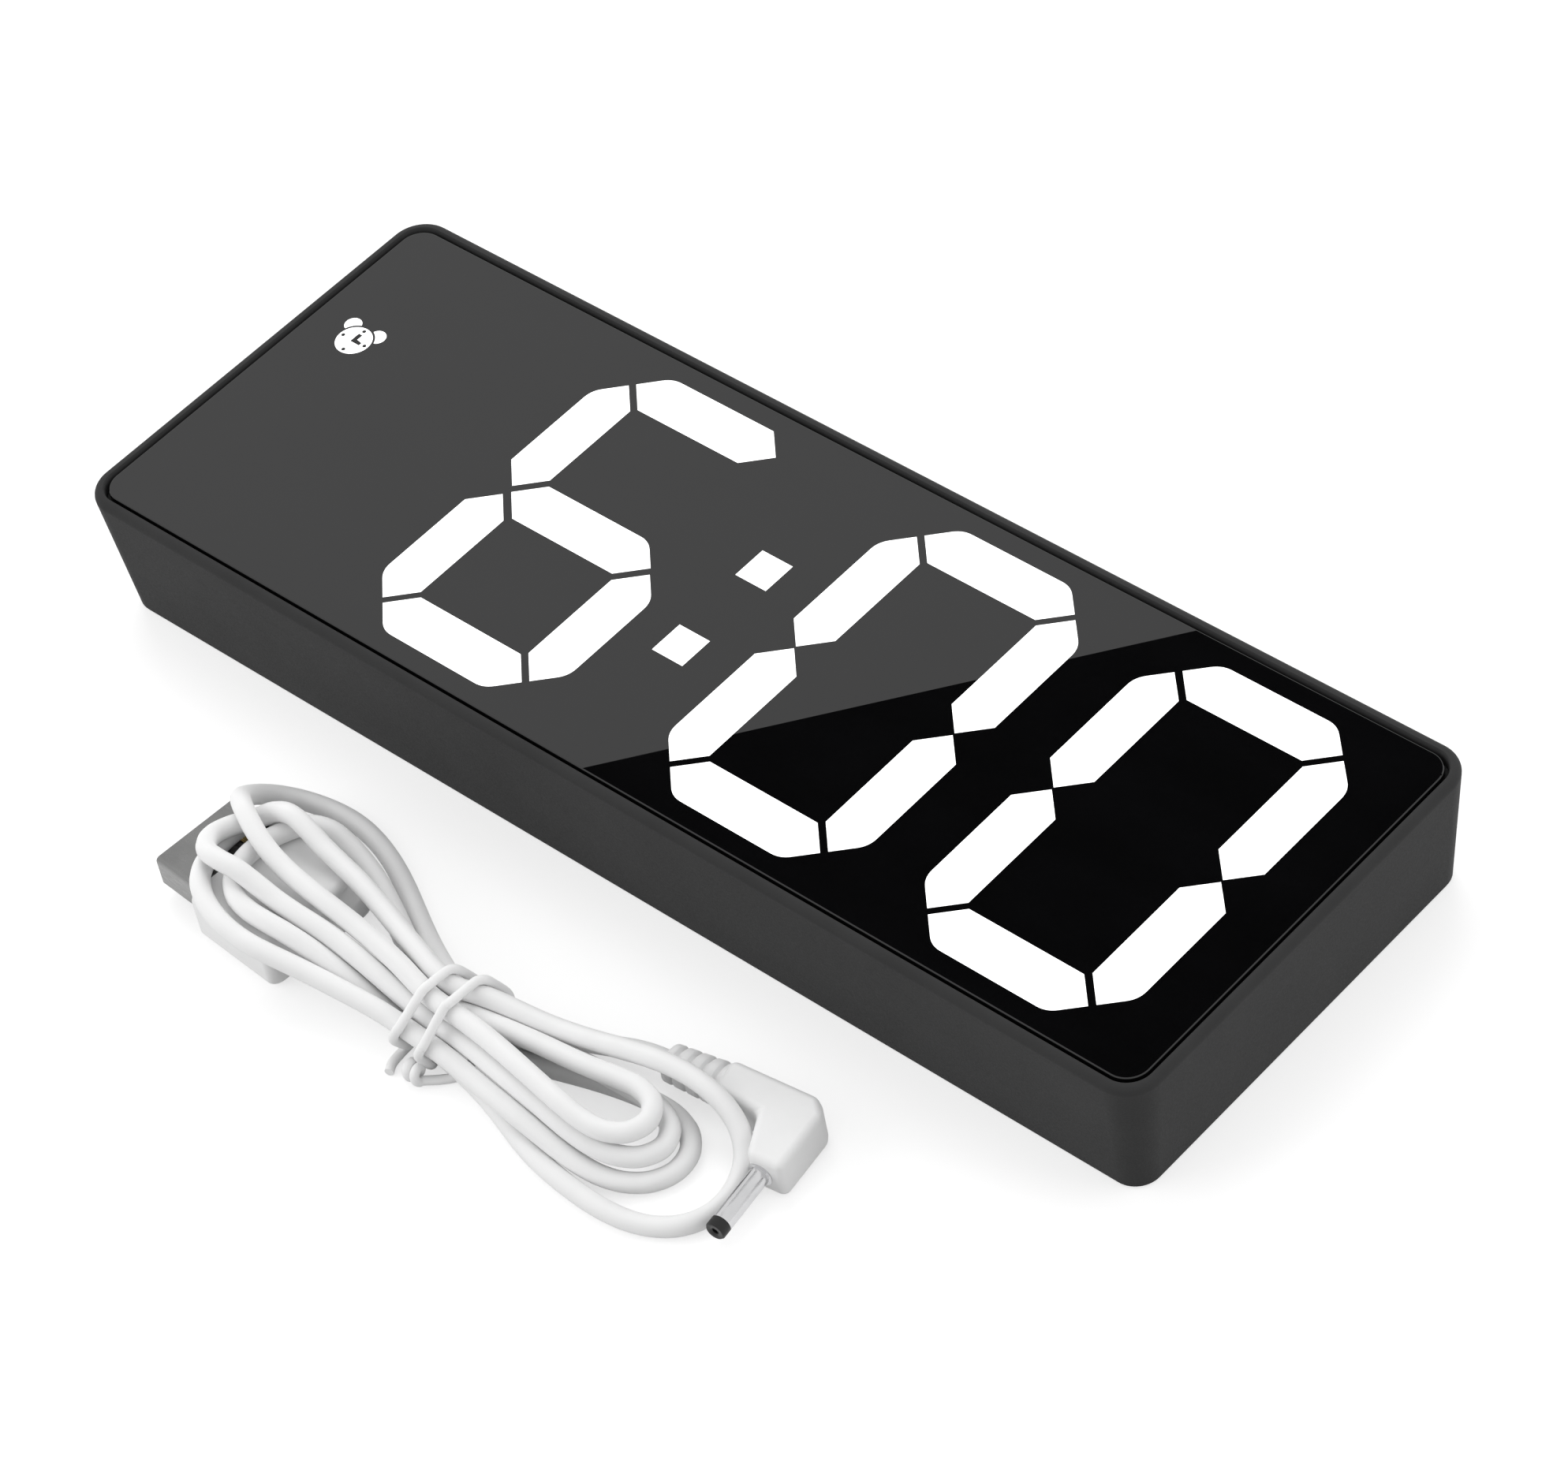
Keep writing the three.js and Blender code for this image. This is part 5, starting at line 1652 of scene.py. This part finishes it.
    def eased(self, p: np.ndarray) -> None:
        """Opens bends that are tighter than the cord can make.

        Args:
            p: The points, which are moved.
        """
        fold = p[:-4] - 2 * p[2:-2] + p[4:]
        size = np.maximum(np.linalg.norm(fold, axis=1, keepdims=True), self.least)
        limit = (2 * self.spacing) ** 2 / self.least_bend
        shift = fold * np.maximum(1 - limit / size, 0) * self.opening
        p[2:-2] += shift
        p[:-4] -= shift / 2
        p[4:] -= shift / 2

    def settled(self) -> np.ndarray:
        """Lets the cord relax: soft bends, no strand in another or in a plug, none under the floor.

        Returns:
            The settled points.
        """
        p = self.resampled(self.control())
        home = p.copy()
        index = np.arange(len(p))
        step = np.linalg.norm(np.diff(p, axis=0), axis=1)
        hold = np.exp(-((p[:, 0] - self.WAIST_X) / self.waist_reach) ** 2) * self.waist_hold
        hold[:self.pinned] = 1
        hold[-self.pinned:] = 1
        hold = hold[:, None]
        pairs = np.triu(np.abs(index[:, None] - index[None, :]) * self.spacing > self.apart)
        off_flat, off_angled = slice(self.in_flat, None), slice(None, -self.in_angled)
        for turn in range(self.rounds):
            if turn < self.rounds * self.loose_share:
                p += (home - p) * self.homing
                p[:, 2] -= self.sag
                p[1:-1] += self.straighten * (0.5 * (p[:-2] + p[2:]) - p[1:-1])
            p[2:-2] -= self.stiffness * (p[:-4] - 4 * p[1:-3] + 6 * p[2:-2] - 4 * p[3:-1] + p[4:])
            self.eased(p)
            for parity in (0, 1, 0, 1):
                a, b = index[parity:-1:2], index[parity + 1::2]
                gap = p[b] - p[a]
                size = np.linalg.norm(gap, axis=1, keepdims=True)
                shift = gap / size * (size - step[a, None]) * self.stretch_share
                p[a] += shift
                p[b] -= shift
            self.parted(p, pairs)
            p[off_flat] = self.FLAT.cleared(p[off_flat], self.radius)
            p[off_angled] = self.ANGLED.cleared(p[off_angled], self.radius)
            p[:, 2] = np.maximum(p[:, 2], self.radius + FLOOR_GAP)
            p += (home - p) * hold
        size = np.linalg.norm(p[:, None, :] - p[None, :, :], axis=2)
        LOG.info("cord: strands nearest each other %.2f mm", size[pairs].min())
        return p


def smooth_curve(name: str, points: np.ndarray, radius: float, sides: int = 5) -> Piece:
    """A round cord as a curve of one open spline through points.

    Args:
        name: The object's name.
        points: The points, in millimetres.
        radius: The cord's radius, in millimetres.
        sides: The bevel's resolution.

    Returns:
        The curve object.
    """
    curve = bpy.data.curves.new(name, "CURVE")
    curve.dimensions = "3D"
    curve.bevel_depth = radius * MM
    curve.bevel_resolution = sides
    curve.resolution_u = 6
    curve.use_fill_caps = True
    spline = curve.splines.new("BEZIER")
    spline.bezier_points.add(len(points) - 1)
    before = np.vstack([2 * points[:1] - points[1:2], points[:-1]])
    after = np.vstack([points[1:], 2 * points[-1:] - points[-2:-1]])
    for knot, here, low, high in zip(spline.bezier_points, points, before, after):
        reach = (high - low) / 6
        knot.co = here * MM
        knot.handle_left = (here - reach) * MM
        knot.handle_right = (here + reach) * MM
    return linked(name, curve)


def lying(at: Flat, lean: float) -> Matrix:
    """The way from a plug's own frame to where it lies.

    Args:
        at: Where its cord end lies.
        lean: How many degrees it is turned.

    Returns:
        The matrix.
    """
    return Matrix.Translation((at[0] * MM, at[1] * MM, 0)) @ Matrix.Rotation(math.radians(lean), 4, "Z")


@dataclass
class FlatPlug:
    """The flat plug: its moulded body, its metal shell and the tongue inside."""

    finishes: Finishes
    body_long: float = 12.5
    body_wide: float = 15.5
    body_tall: float = 7.6
    cord_end_round: float = 1.1
    shell_end_dish: float = 0.66
    edge_corner: float = 1.5
    shell_long: float = 8.6
    shell_wide: float = 12
    shell_tall: float = 4.5
    shell_wall: float = 0.35
    shell_sunk: float = 1.0
    shell_corners: Flat = (0.55, 0.3)
    shell_edge: float = 0.1
    hole: float = 2.2
    hole_x: float = 5.2
    hole_y: float = 2.9
    hole_corner: float = 0.25
    hole_reach: float = 3
    overrun: float = 1
    seam_half: float = 0.06
    seam_stop: float = 1.2
    seam_over: float = 0.2
    tongue_in: float = 0.6
    tongue_half: float = 5.35
    tongue_thick: float = 1.9
    tongue_edge: float = 0.12
    strips: tuple[float, ...] = (-3.5, -1.0, 1.0, 3.5)
    strip_half: float = 0.5
    strip_ends: Flat = (1.2, 1.5)
    strip_heights: Flat = (1.85, 1.96)
    strip_corner: float = 0.1

    def placed(self, piece: Piece) -> Piece:
        """Turns and moves a piece from the plug's own frame to where the plug lies.

        Args:
            piece: The piece, with the cord's end at its origin and the plug along -X.

        Returns:
            The piece.
        """
        piece.data.transform(lying(FLAT_AT, FLAT_LEAN))
        return piece

    def section(self, x: float, trim: float) -> Ring:
        """The body's outline across the plug at one place along it.

        Args:
            x: The place.
            trim: How far the outline is brought in.

        Returns:
            The ring's points.
        """
        half_y, half_z = self.body_wide / 2 - trim, self.body_tall / 2 - trim
        ring = rounded_ring(half_y, half_z, self.edge_corner, 0, 8)
        return [(x, y, self.body_tall / 2 + z) for y, z, _ in ring]

    def build_body(self) -> Piece:
        """Makes the moulded body, rounded at the cord's end and a little dished round the shell.

        Returns:
            The body.
        """
        end, dish, soft = -self.body_long, self.shell_end_dish, self.cord_end_round
        rings = [self.section(end + dish - rise, dish - rise) for _, rise in quarter_round(dish, 6)]
        rings += [self.section(-soft + rise, inset) for inset, rise in quarter_round(soft, 8)]
        body = self.placed(smooth(lofted("plug_grip", rings), 45))
        return settle(body, self.finishes.plug_skin, Slot.WHITE_CORD, Body.CLOCK, "usb_body")

    def build_shell(self) -> Piece:
        """Makes the metal shell with its latch holes and seam.

        Returns:
            The shell.
        """
        mid, wall = self.body_tall / 2, self.shell_wall
        mouth, back = -self.body_long - self.shell_long, -self.body_long + self.shell_sunk
        half_y, half_z = self.shell_wide / 2, self.shell_tall / 2
        outer, inner = (
            rounded_ring(half_y - trim, half_z - trim, corner, 0, 5)
            for trim, corner in zip((0, wall), self.shell_corners)
        )
        stack = ((mouth, outer), (back, outer), (back, inner), (mouth, inner))
        rings = [[(x, y, mid + z) for y, z, _ in ring] for x, ring in stack]
        shell = lofted("plug_shell", rings, closed=True)
        half, x, cuts = self.hole / 2, mouth + self.hole_x, []
        for y in (-self.hole_y, self.hole_y):
            high = (x + half, y + half, mid + self.hole_reach)
            cuts.append(slab("latch", (x - half, y - half, mid - self.hole_reach), high, self.hole_corner))
        foot = mid - half_z
        high = (back - self.seam_stop, self.seam_half, foot + wall + self.seam_over)
        cuts.append(slab("seam", (mouth - self.overrun, -self.seam_half, foot - self.overrun), high))
        self.placed(smooth(softened(carved(shell, cuts), self.shell_edge, 2, 60)))
        return settle(shell, self.finishes.plug, Slot.PLUG_METAL, Body.CLOCK, "usb_shell")

    def build_tongue(self) -> list[Piece]:
        """Makes the tongue inside the shell, and the contacts on it.

        Returns:
            The tongue and the contacts.
        """
        low = self.body_tall / 2 - self.shell_tall / 2 + self.shell_wall
        mouth, back = -self.body_long - self.shell_long, -self.body_long + self.shell_sunk
        half = self.tongue_half
        start = (mouth + self.tongue_in, -half, low)
        tongue = slab("plug_tongue", start, (back, half, low + self.tongue_thick))
        self.placed(smooth(softened(tongue, self.tongue_edge)))
        settle(tongue, self.finishes.black, Slot.BLACK_PLASTIC, Body.CLOCK, "usb_tongue")
        start, end = mouth + self.strip_ends[0], back - self.strip_ends[1]
        foot, top = (low + height for height in self.strip_heights)
        half, corner = self.strip_half, self.strip_corner
        contacts = self.placed(joined("plug_contacts", [
            slab("strip", (start, y - half, foot), (end, y + half, top), corner) for y in self.strips
        ]))
        settle(contacts, self.finishes.contact, Slot.PLUG_METAL, Body.CLOCK)
        return [tongue, contacts]

    def build(self) -> list[Piece]:
        """Makes the plug's pieces.

        Returns:
            The pieces.
        """
        return [self.build_body(), self.build_shell(), *self.build_tongue()]


@dataclass
class BarrelPlug:
    """The right-angle plug: a ribbed relief, a wedge-shaped body and a barrel with a dark tip."""

    finishes: Finishes
    axis_z: float = 2.7
    tall: float = 5.4
    plan: tuple[Flat, ...] = (
        (7.1, -2.3), (13.5, -2.8), (15.7, -8.3), (20.2, -8.3), (20.2, 0.1), (18.4, 1.9), (7.1, 2.1),
    )
    edge: float = 0.95
    relief_long: float = 7.5
    relief_tip: float = 2.2
    relief_root: float = 2.6
    relief_start: tuple[Flat, ...] = ((1.15, 0), (2.05, 0), (2.2, 0.15))
    relief_end: tuple[Flat, ...] = ((2.6, 7.5), (2.1, 8.0), (0.4, 8.5))
    notches: int = 4
    notch_start: float = 0.85
    notch_pitch: float = 1.8
    # Depth below the sleeve and distance along it
    notch_form: tuple[Flat, ...] = (
        (0, 0), (0.08, 0.1), (0.44, 0.2), (0.5, 0.28), (0.5, 0.52), (0.44, 0.6), (0.05, 0.7), (-0.03, 0.8),
    )
    barrel_x: float = 17.2
    barrel_y: float = -8.3
    barrel_profile: tuple[Flat, ...] = (
        (1.5, -0.25), (1.5, 0.12), (1.2, 0.2), (1.2, 7.3), (1.12, 7.4),
        (0.4, 7.4), (0.4, 0.6), (0, 0.5), (0, -0.25),
    )
    tip_profile: tuple[Flat, ...] = (
        (0.4, 7.4), (1.2, 7.4), (1.2, 8.5), (1.04, 8.7), (0.6, 8.7), (0.4, 8.54), (0.4, 7.41),
    )

    def placed(self, piece: Piece, start: Point = (0, 0, 0), turn: Matrix = Matrix()) -> Piece:
        """Moves a piece from the plug's own frame to where the plug lies.

        Args:
            piece: The piece.
            start: Where its axis starts in the plug's frame.
            turn: A turn that the piece gets first.

        Returns:
            The piece.
        """
        there = lying(ANGLED_AT, ANGLED_LEAN) @ Matrix.Translation(Vector(start) * MM)
        piece.data.transform(there @ turn)
        return piece

    def relief(self) -> Piece:
        """The strain relief: a tapered sleeve with rounded ribs, open notches between them.

        Returns:
            The sleeve.
        """
        profile = list(self.relief_start)
        for notch in range(self.notches):
            start = self.notch_start + notch * self.notch_pitch
            radius = self.relief_tip + (self.relief_root - self.relief_tip) * start / self.relief_long
            profile += [(radius - deep, start + run) for deep, run in self.notch_form]
        sleeve = turned("relief", [*profile, *self.relief_end], (0, 0), 40)
        return self.placed(sleeve, (0, 0, self.axis_z), Matrix.Rotation(TAU / 4, 4, "Y"))

    def rod(self, name: str, profile: Sequence[Flat]) -> Piece:
        """A solid of revolution along the barrel.

        Args:
            name: The object's name.
            profile: Radius and distance from the body's near end.

        Returns:
            The object.
        """
        start = (self.barrel_x, self.barrel_y, self.axis_z)
        return smooth(self.placed(turned(name, profile), start, Matrix.Rotation(TAU / 4, 4, "X")))

    def build(self) -> list[Piece]:
        """Makes the plug's pieces.

        Returns:
            The pieces.
        """
        body = self.placed(softened(prism("wedge", self.plan, 0, self.tall), self.edge, 5, 25))
        carved(body, [self.relief()], Cut.ONTO)
        body.name = "angle_plug"
        settle(smooth(body, 45), self.finishes.plug_skin, Slot.WHITE_CORD, Body.CLOCK, "dc_plug_body")
        barrel = self.rod("plug_barrel", self.barrel_profile)
        settle(barrel, self.finishes.barrel, Slot.PLUG_METAL, Body.CLOCK, "dc_barrel")
        ring = self.rod("plug_tip_ring", self.tip_profile)
        settle(ring, self.finishes.black, Slot.BLACK_PLASTIC, Body.CLOCK, "dc_barrel_tip")
        return [body, barrel, ring]


@dataclass
class CordTie:
    """The thin tie: two turns round the hank's waist, and the small knot of its ends at the near side."""

    finishes: Finishes
    radius: float = 0.56
    gap: float = 0.03
    part: float = 3.8
    wraps: int = 2
    shift: float = 2.0
    start_turn: float = 0.72
    steps: int = 80
    snugness: float = 5
    knot_y: float = -61.15
    knot_low: float = 0.85
    knot_radius: float = 0.76
    knot_half: float = 1.25
    knot_start: float = 0.75
    knot_turns: float = 2.1
    knot_steps: int = 24
    # The way of the tie's ends: along X from where the winding starts or stops, and across from the knot
    head: tuple[Flat, ...] = ((0.9, -1.2), (0.2, 0.3))
    bridge: tuple[Flat, ...] = ((-1.1, 1.5),)

    @staticmethod
    def strands(line: np.ndarray, x: float) -> np.ndarray:
        """Where the cord's strands pass a plane across the hank.

        Args:
            line: The cord's centre line.
            x: The plane's place.

        Returns:
            Y and height of each strand.
        """
        before, after = line[:-1], line[1:]
        passing = (before[:, 0] - x) * (after[:, 0] - x) <= 0
        low, high = before[passing], after[passing]
        share = (x - low[:, :1]) / np.where(high[:, :1] == low[:, :1], 1, high[:, :1] - low[:, :1])
        return (low + (high - low) * share)[:, 1:]

    def hull(self, strands: np.ndarray, reach: float, turn: float) -> Flat:
        """The point of the bundle's outline that faces a direction.

        Args:
            strands: The strands' places across the hank.
            reach: The distance of the tie's line from a strand's.
            turn: The direction, in turns from +Y towards +Z.

        Returns:
            The point, as Y and height.
        """
        facing = np.array([math.cos(turn * TAU), math.sin(turn * TAU)])
        lead = strands @ facing
        share = np.exp((lead - lead.max()) * self.snugness)
        y, z = share @ strands / share.sum() + facing * reach
        return (float(y), max(float(z), self.radius + FLOOR_GAP))

    def knot(self, middle: float) -> list[Point]:
        """The small coil in which the tie's end is caught.

        Args:
            middle: Where its middle lies.

        Returns:
            The coil's points.
        """
        points = []
        for step in range(self.knot_steps + 1):
            share = step / self.knot_steps
            turn = (self.knot_start - share * self.knot_turns) * TAU
            y = self.knot_y + self.knot_radius * math.cos(turn)
            z = self.knot_low + self.knot_radius * (1 + math.sin(turn))
            points.append((middle + self.knot_half * (1 - 2 * share), y, z))
        return points

    def build(self, line: np.ndarray, cord_radius: float) -> Piece:
        """Makes the tie.

        Args:
            line: The cord's centre line.
            cord_radius: The cord's radius.

        Returns:
            The tie.
        """
        reach = cord_radius + self.radius + self.gap
        middle = CordRoute.WAIST_X + self.shift
        wound = []
        for step in range(self.steps + 1):
            share = step / self.steps
            x = middle + (share - 0.5) * self.part * self.wraps
            turn = self.start_turn - share * self.wraps
            wound.append((x, *self.hull(self.strands(line, x), reach, turn)))
        low = self.radius + FLOOR_GAP
        head = [(wound[0][0] + x, self.knot_y + y, low) for x, y in self.head]
        bridge = [(wound[-1][0] + x, self.knot_y + y, low) for x, y in self.bridge]
        points = np.array([*head, *wound, *bridge, *self.knot(middle)])
        tie = smooth_curve("cord_wrap", points, self.radius, 4)
        return settle(tie, self.finishes.tie, Slot.WHITE_CORD, Body.CLOCK, "cord_tie")


@dataclass
class Cord:
    """The power cord, tied as a hank between its two plugs."""

    finishes: Finishes
    radius: float = 1.2
    knot_step: int = 2

    def build(self) -> None:
        pieces = [*FlatPlug(self.finishes).build(), *BarrelPlug(self.finishes).build()]
        route = CordRoute(self.radius)
        line = route.settled()
        knots = np.vstack([line[:-1:self.knot_step], line[-1:]])
        cord = smooth_curve("power_cord", knots, self.radius)
        nodes = ("cord_hank", "cord_usb_tail", "cord_dc_tail")
        settle(cord, self.finishes.jacket, Slot.WHITE_CORD, Body.CLOCK, *nodes)
        pieces.append(CordTie(self.finishes).build(line, self.radius))
        length = float(np.linalg.norm(np.diff(line, axis=0), axis=1).sum())
        LOG.info("cord: %.0f mm long", length)


@dataclass(frozen=True)
class Lamp:
    """A soft lamp that looks at the clock: where it hangs, the side of its box and its power in watts."""

    name: str
    place: Point
    size: float
    power: float


@dataclass
class Studio:
    """The floor, the soft lamps, the black card that the mirror shows, and the camera."""

    lens: float = 130.354
    sensor: float = 36
    eye: Point = (345.736, -286.673, 464.518)
    forward: Point = (-0.532825, 0.44531, -0.719581)
    up: Point = (-0.412875, 0.605459, 0.680407)
    floor_half: float = 4000
    floor_drop: float = 0.02
    floor_colour: float = 0.54
    floor_lift: float = 0.6
    sky: float = 0.74
    lamps: tuple[Lamp, ...] = (
        Lamp("soft_key", (-500, 450, 1300), 700, 4.0),
        Lamp("soft_left", (-900, -900, 480), 1000, 6.0),
        Lamp("soft_right", (1000, 800, 480), 1000, 6.0),
        Lamp("soft_back", (-900, 900, 480), 1000, 4.5),
    )
    card_height: float = 1500
    card_overrun: float = 0.5
    card_black: float = 0.004
    card_edge: tuple[Flat, Flat] = ((0.3, -26.8), (43.5, 27.8))
    card_reach: float = 170

    def build_camera(self) -> None:
        """Makes the camera at the photograph's angle."""
        data = bpy.data.cameras.new("view_camera")
        data.lens, data.sensor_width = self.lens, self.sensor
        data.clip_start, data.clip_end = 0.01, 20
        camera = linked("view_camera", data)
        ahead = Vector(self.forward).normalized()
        right = ahead.cross(Vector(self.up)).normalized()
        above = right.cross(ahead)
        turn = Matrix((right, above, -ahead)).transposed().to_4x4()
        camera.matrix_world = Matrix.Translation(Vector(self.eye) * MM) @ turn
        bpy.context.scene.camera = camera

    def build_sky(self) -> None:
        """Makes a plain sky: white where it is seen or mirrored, softer as a light."""
        world = bpy.data.worlds.new("studio_sky")
        bpy.context.scene.world = world
        tree = blank_tree(world)
        light = new_node(tree, "Background", Color=(1, 1, 1, 1), Strength=self.sky)
        white = new_node(tree, "Background", Color=(1, 1, 1, 1))
        mix = new_node(tree, "MixShader", Fac=ray_is(tree, Ray.CAMERA, Ray.GLOSSY, Ray.TRANSMISSION))
        tree.links.new(light.outputs[0], mix.inputs[1])
        tree.links.new(white.outputs[0], mix.inputs[2])
        new_node(tree, "OutputWorld", Surface=mix.outputs[0])

    def build_floor(self) -> None:
        """Makes the floor: pale, white where it is seen in full light, and shaded under the object."""
        half, low = self.floor_half, -self.floor_drop
        corners = [(x * half, y * half, low) for x, y in ((-1, -1), (1, -1), (1, 1), (-1, 1))]
        floor = mesh_piece("floor", corners, [(0, 1, 2, 3)])
        material = bpy.data.materials.new("floor_paper")
        tree = blank_tree(material)
        paper = new_node(tree, "BsdfDiffuse", Color=(*[self.floor_colour] * 3, 1))
        level = new_node(tree, "Math")
        level.operation = "MULTIPLY"
        level.inputs[1].default_value = self.floor_lift
        tree.links.new(ray_is(tree, Ray.CAMERA, Ray.GLOSSY), level.inputs[0])
        lift = new_node(tree, "Emission", Strength=level.outputs[0])
        both = new_node(tree, "AddShader")
        for shader, socket in zip((paper, lift), both.inputs):
            tree.links.new(shader.outputs[0], socket)
        new_node(tree, "OutputMaterial", Surface=both.outputs[0])
        floor.data.materials.append(material)

    def mirrored(self, x: float, y: float) -> Point:
        """Where the camera's look at a point of the mirror ends up, at the card's height.

        Args:
            x: The point on the mirror.
            y: The same, across.

        Returns:
            The point at the card's height.
        """
        spot = Vector((x, y, SHELL.panel_top))
        look = spot - Vector(self.eye)
        run = (self.card_height - spot.z) / -look.z
        return (x + look.x * run, y + look.y * run, self.card_height)

    def build_card(self) -> None:
        """Makes the black card, high behind the clock, whose edge crosses the mirror aslant."""
        (x0, y0), (x1, y1) = self.card_edge
        more = self.card_overrun
        low = (x0 + (x0 - x1) * more, y0 + (y0 - y1) * more)
        high = (x1 + (x1 - x0) * more, y1 + (y1 - y0) * more)
        far = [(x + self.card_reach, y) for x, y in (low, high)]
        corners = [self.mirrored(*spot) for spot in (low, *far, high)]
        card = mesh_piece("black_card", corners, [(0, 1, 2, 3)])
        material = bpy.data.materials.new("card_velvet")
        material.use_nodes = True
        shader = material.node_tree.nodes["Principled BSDF"]
        wire(shader, Base_Color=(*[self.card_black] * 3, 1), Roughness=1)
        card.data.materials.append(material)

    @staticmethod
    def build_lamp(lamp: Lamp) -> None:
        """Makes one soft lamp.

        Args:
            lamp: The lamp.
        """
        data = bpy.data.lights.new(lamp.name, "AREA")
        data.shape = "SQUARE"
        data.size = lamp.size * MM
        data.energy = lamp.power
        box = linked(lamp.name, data)
        box.location = Vector(lamp.place) * MM
        box.rotation_mode = "QUATERNION"
        box.rotation_quaternion = (-Vector(lamp.place)).to_track_quat("-Z", "Y")
        box.visible_glossy = False
        box.visible_camera = False

    def build(self) -> None:
        """Makes the whole studio."""
        bpy.context.scene.view_settings.view_transform = "Standard"
        self.build_camera()
        self.build_sky()
        self.build_floor()
        self.build_card()
        for lamp in self.lamps:
            self.build_lamp(lamp)


def main() -> None:
    """Builds the studio, the cord and the clock."""
    logging.basicConfig(level=logging.INFO, format="%(name)s %(message)s")
    finishes = Finishes()
    Studio().build()
    Cord(finishes).build()
    Housing(finishes).build()
    Face(finishes).build()
    BackWorks(finishes).build()
    SnoozeKey(finishes).build()


if __name__ == "__main__":
    main()
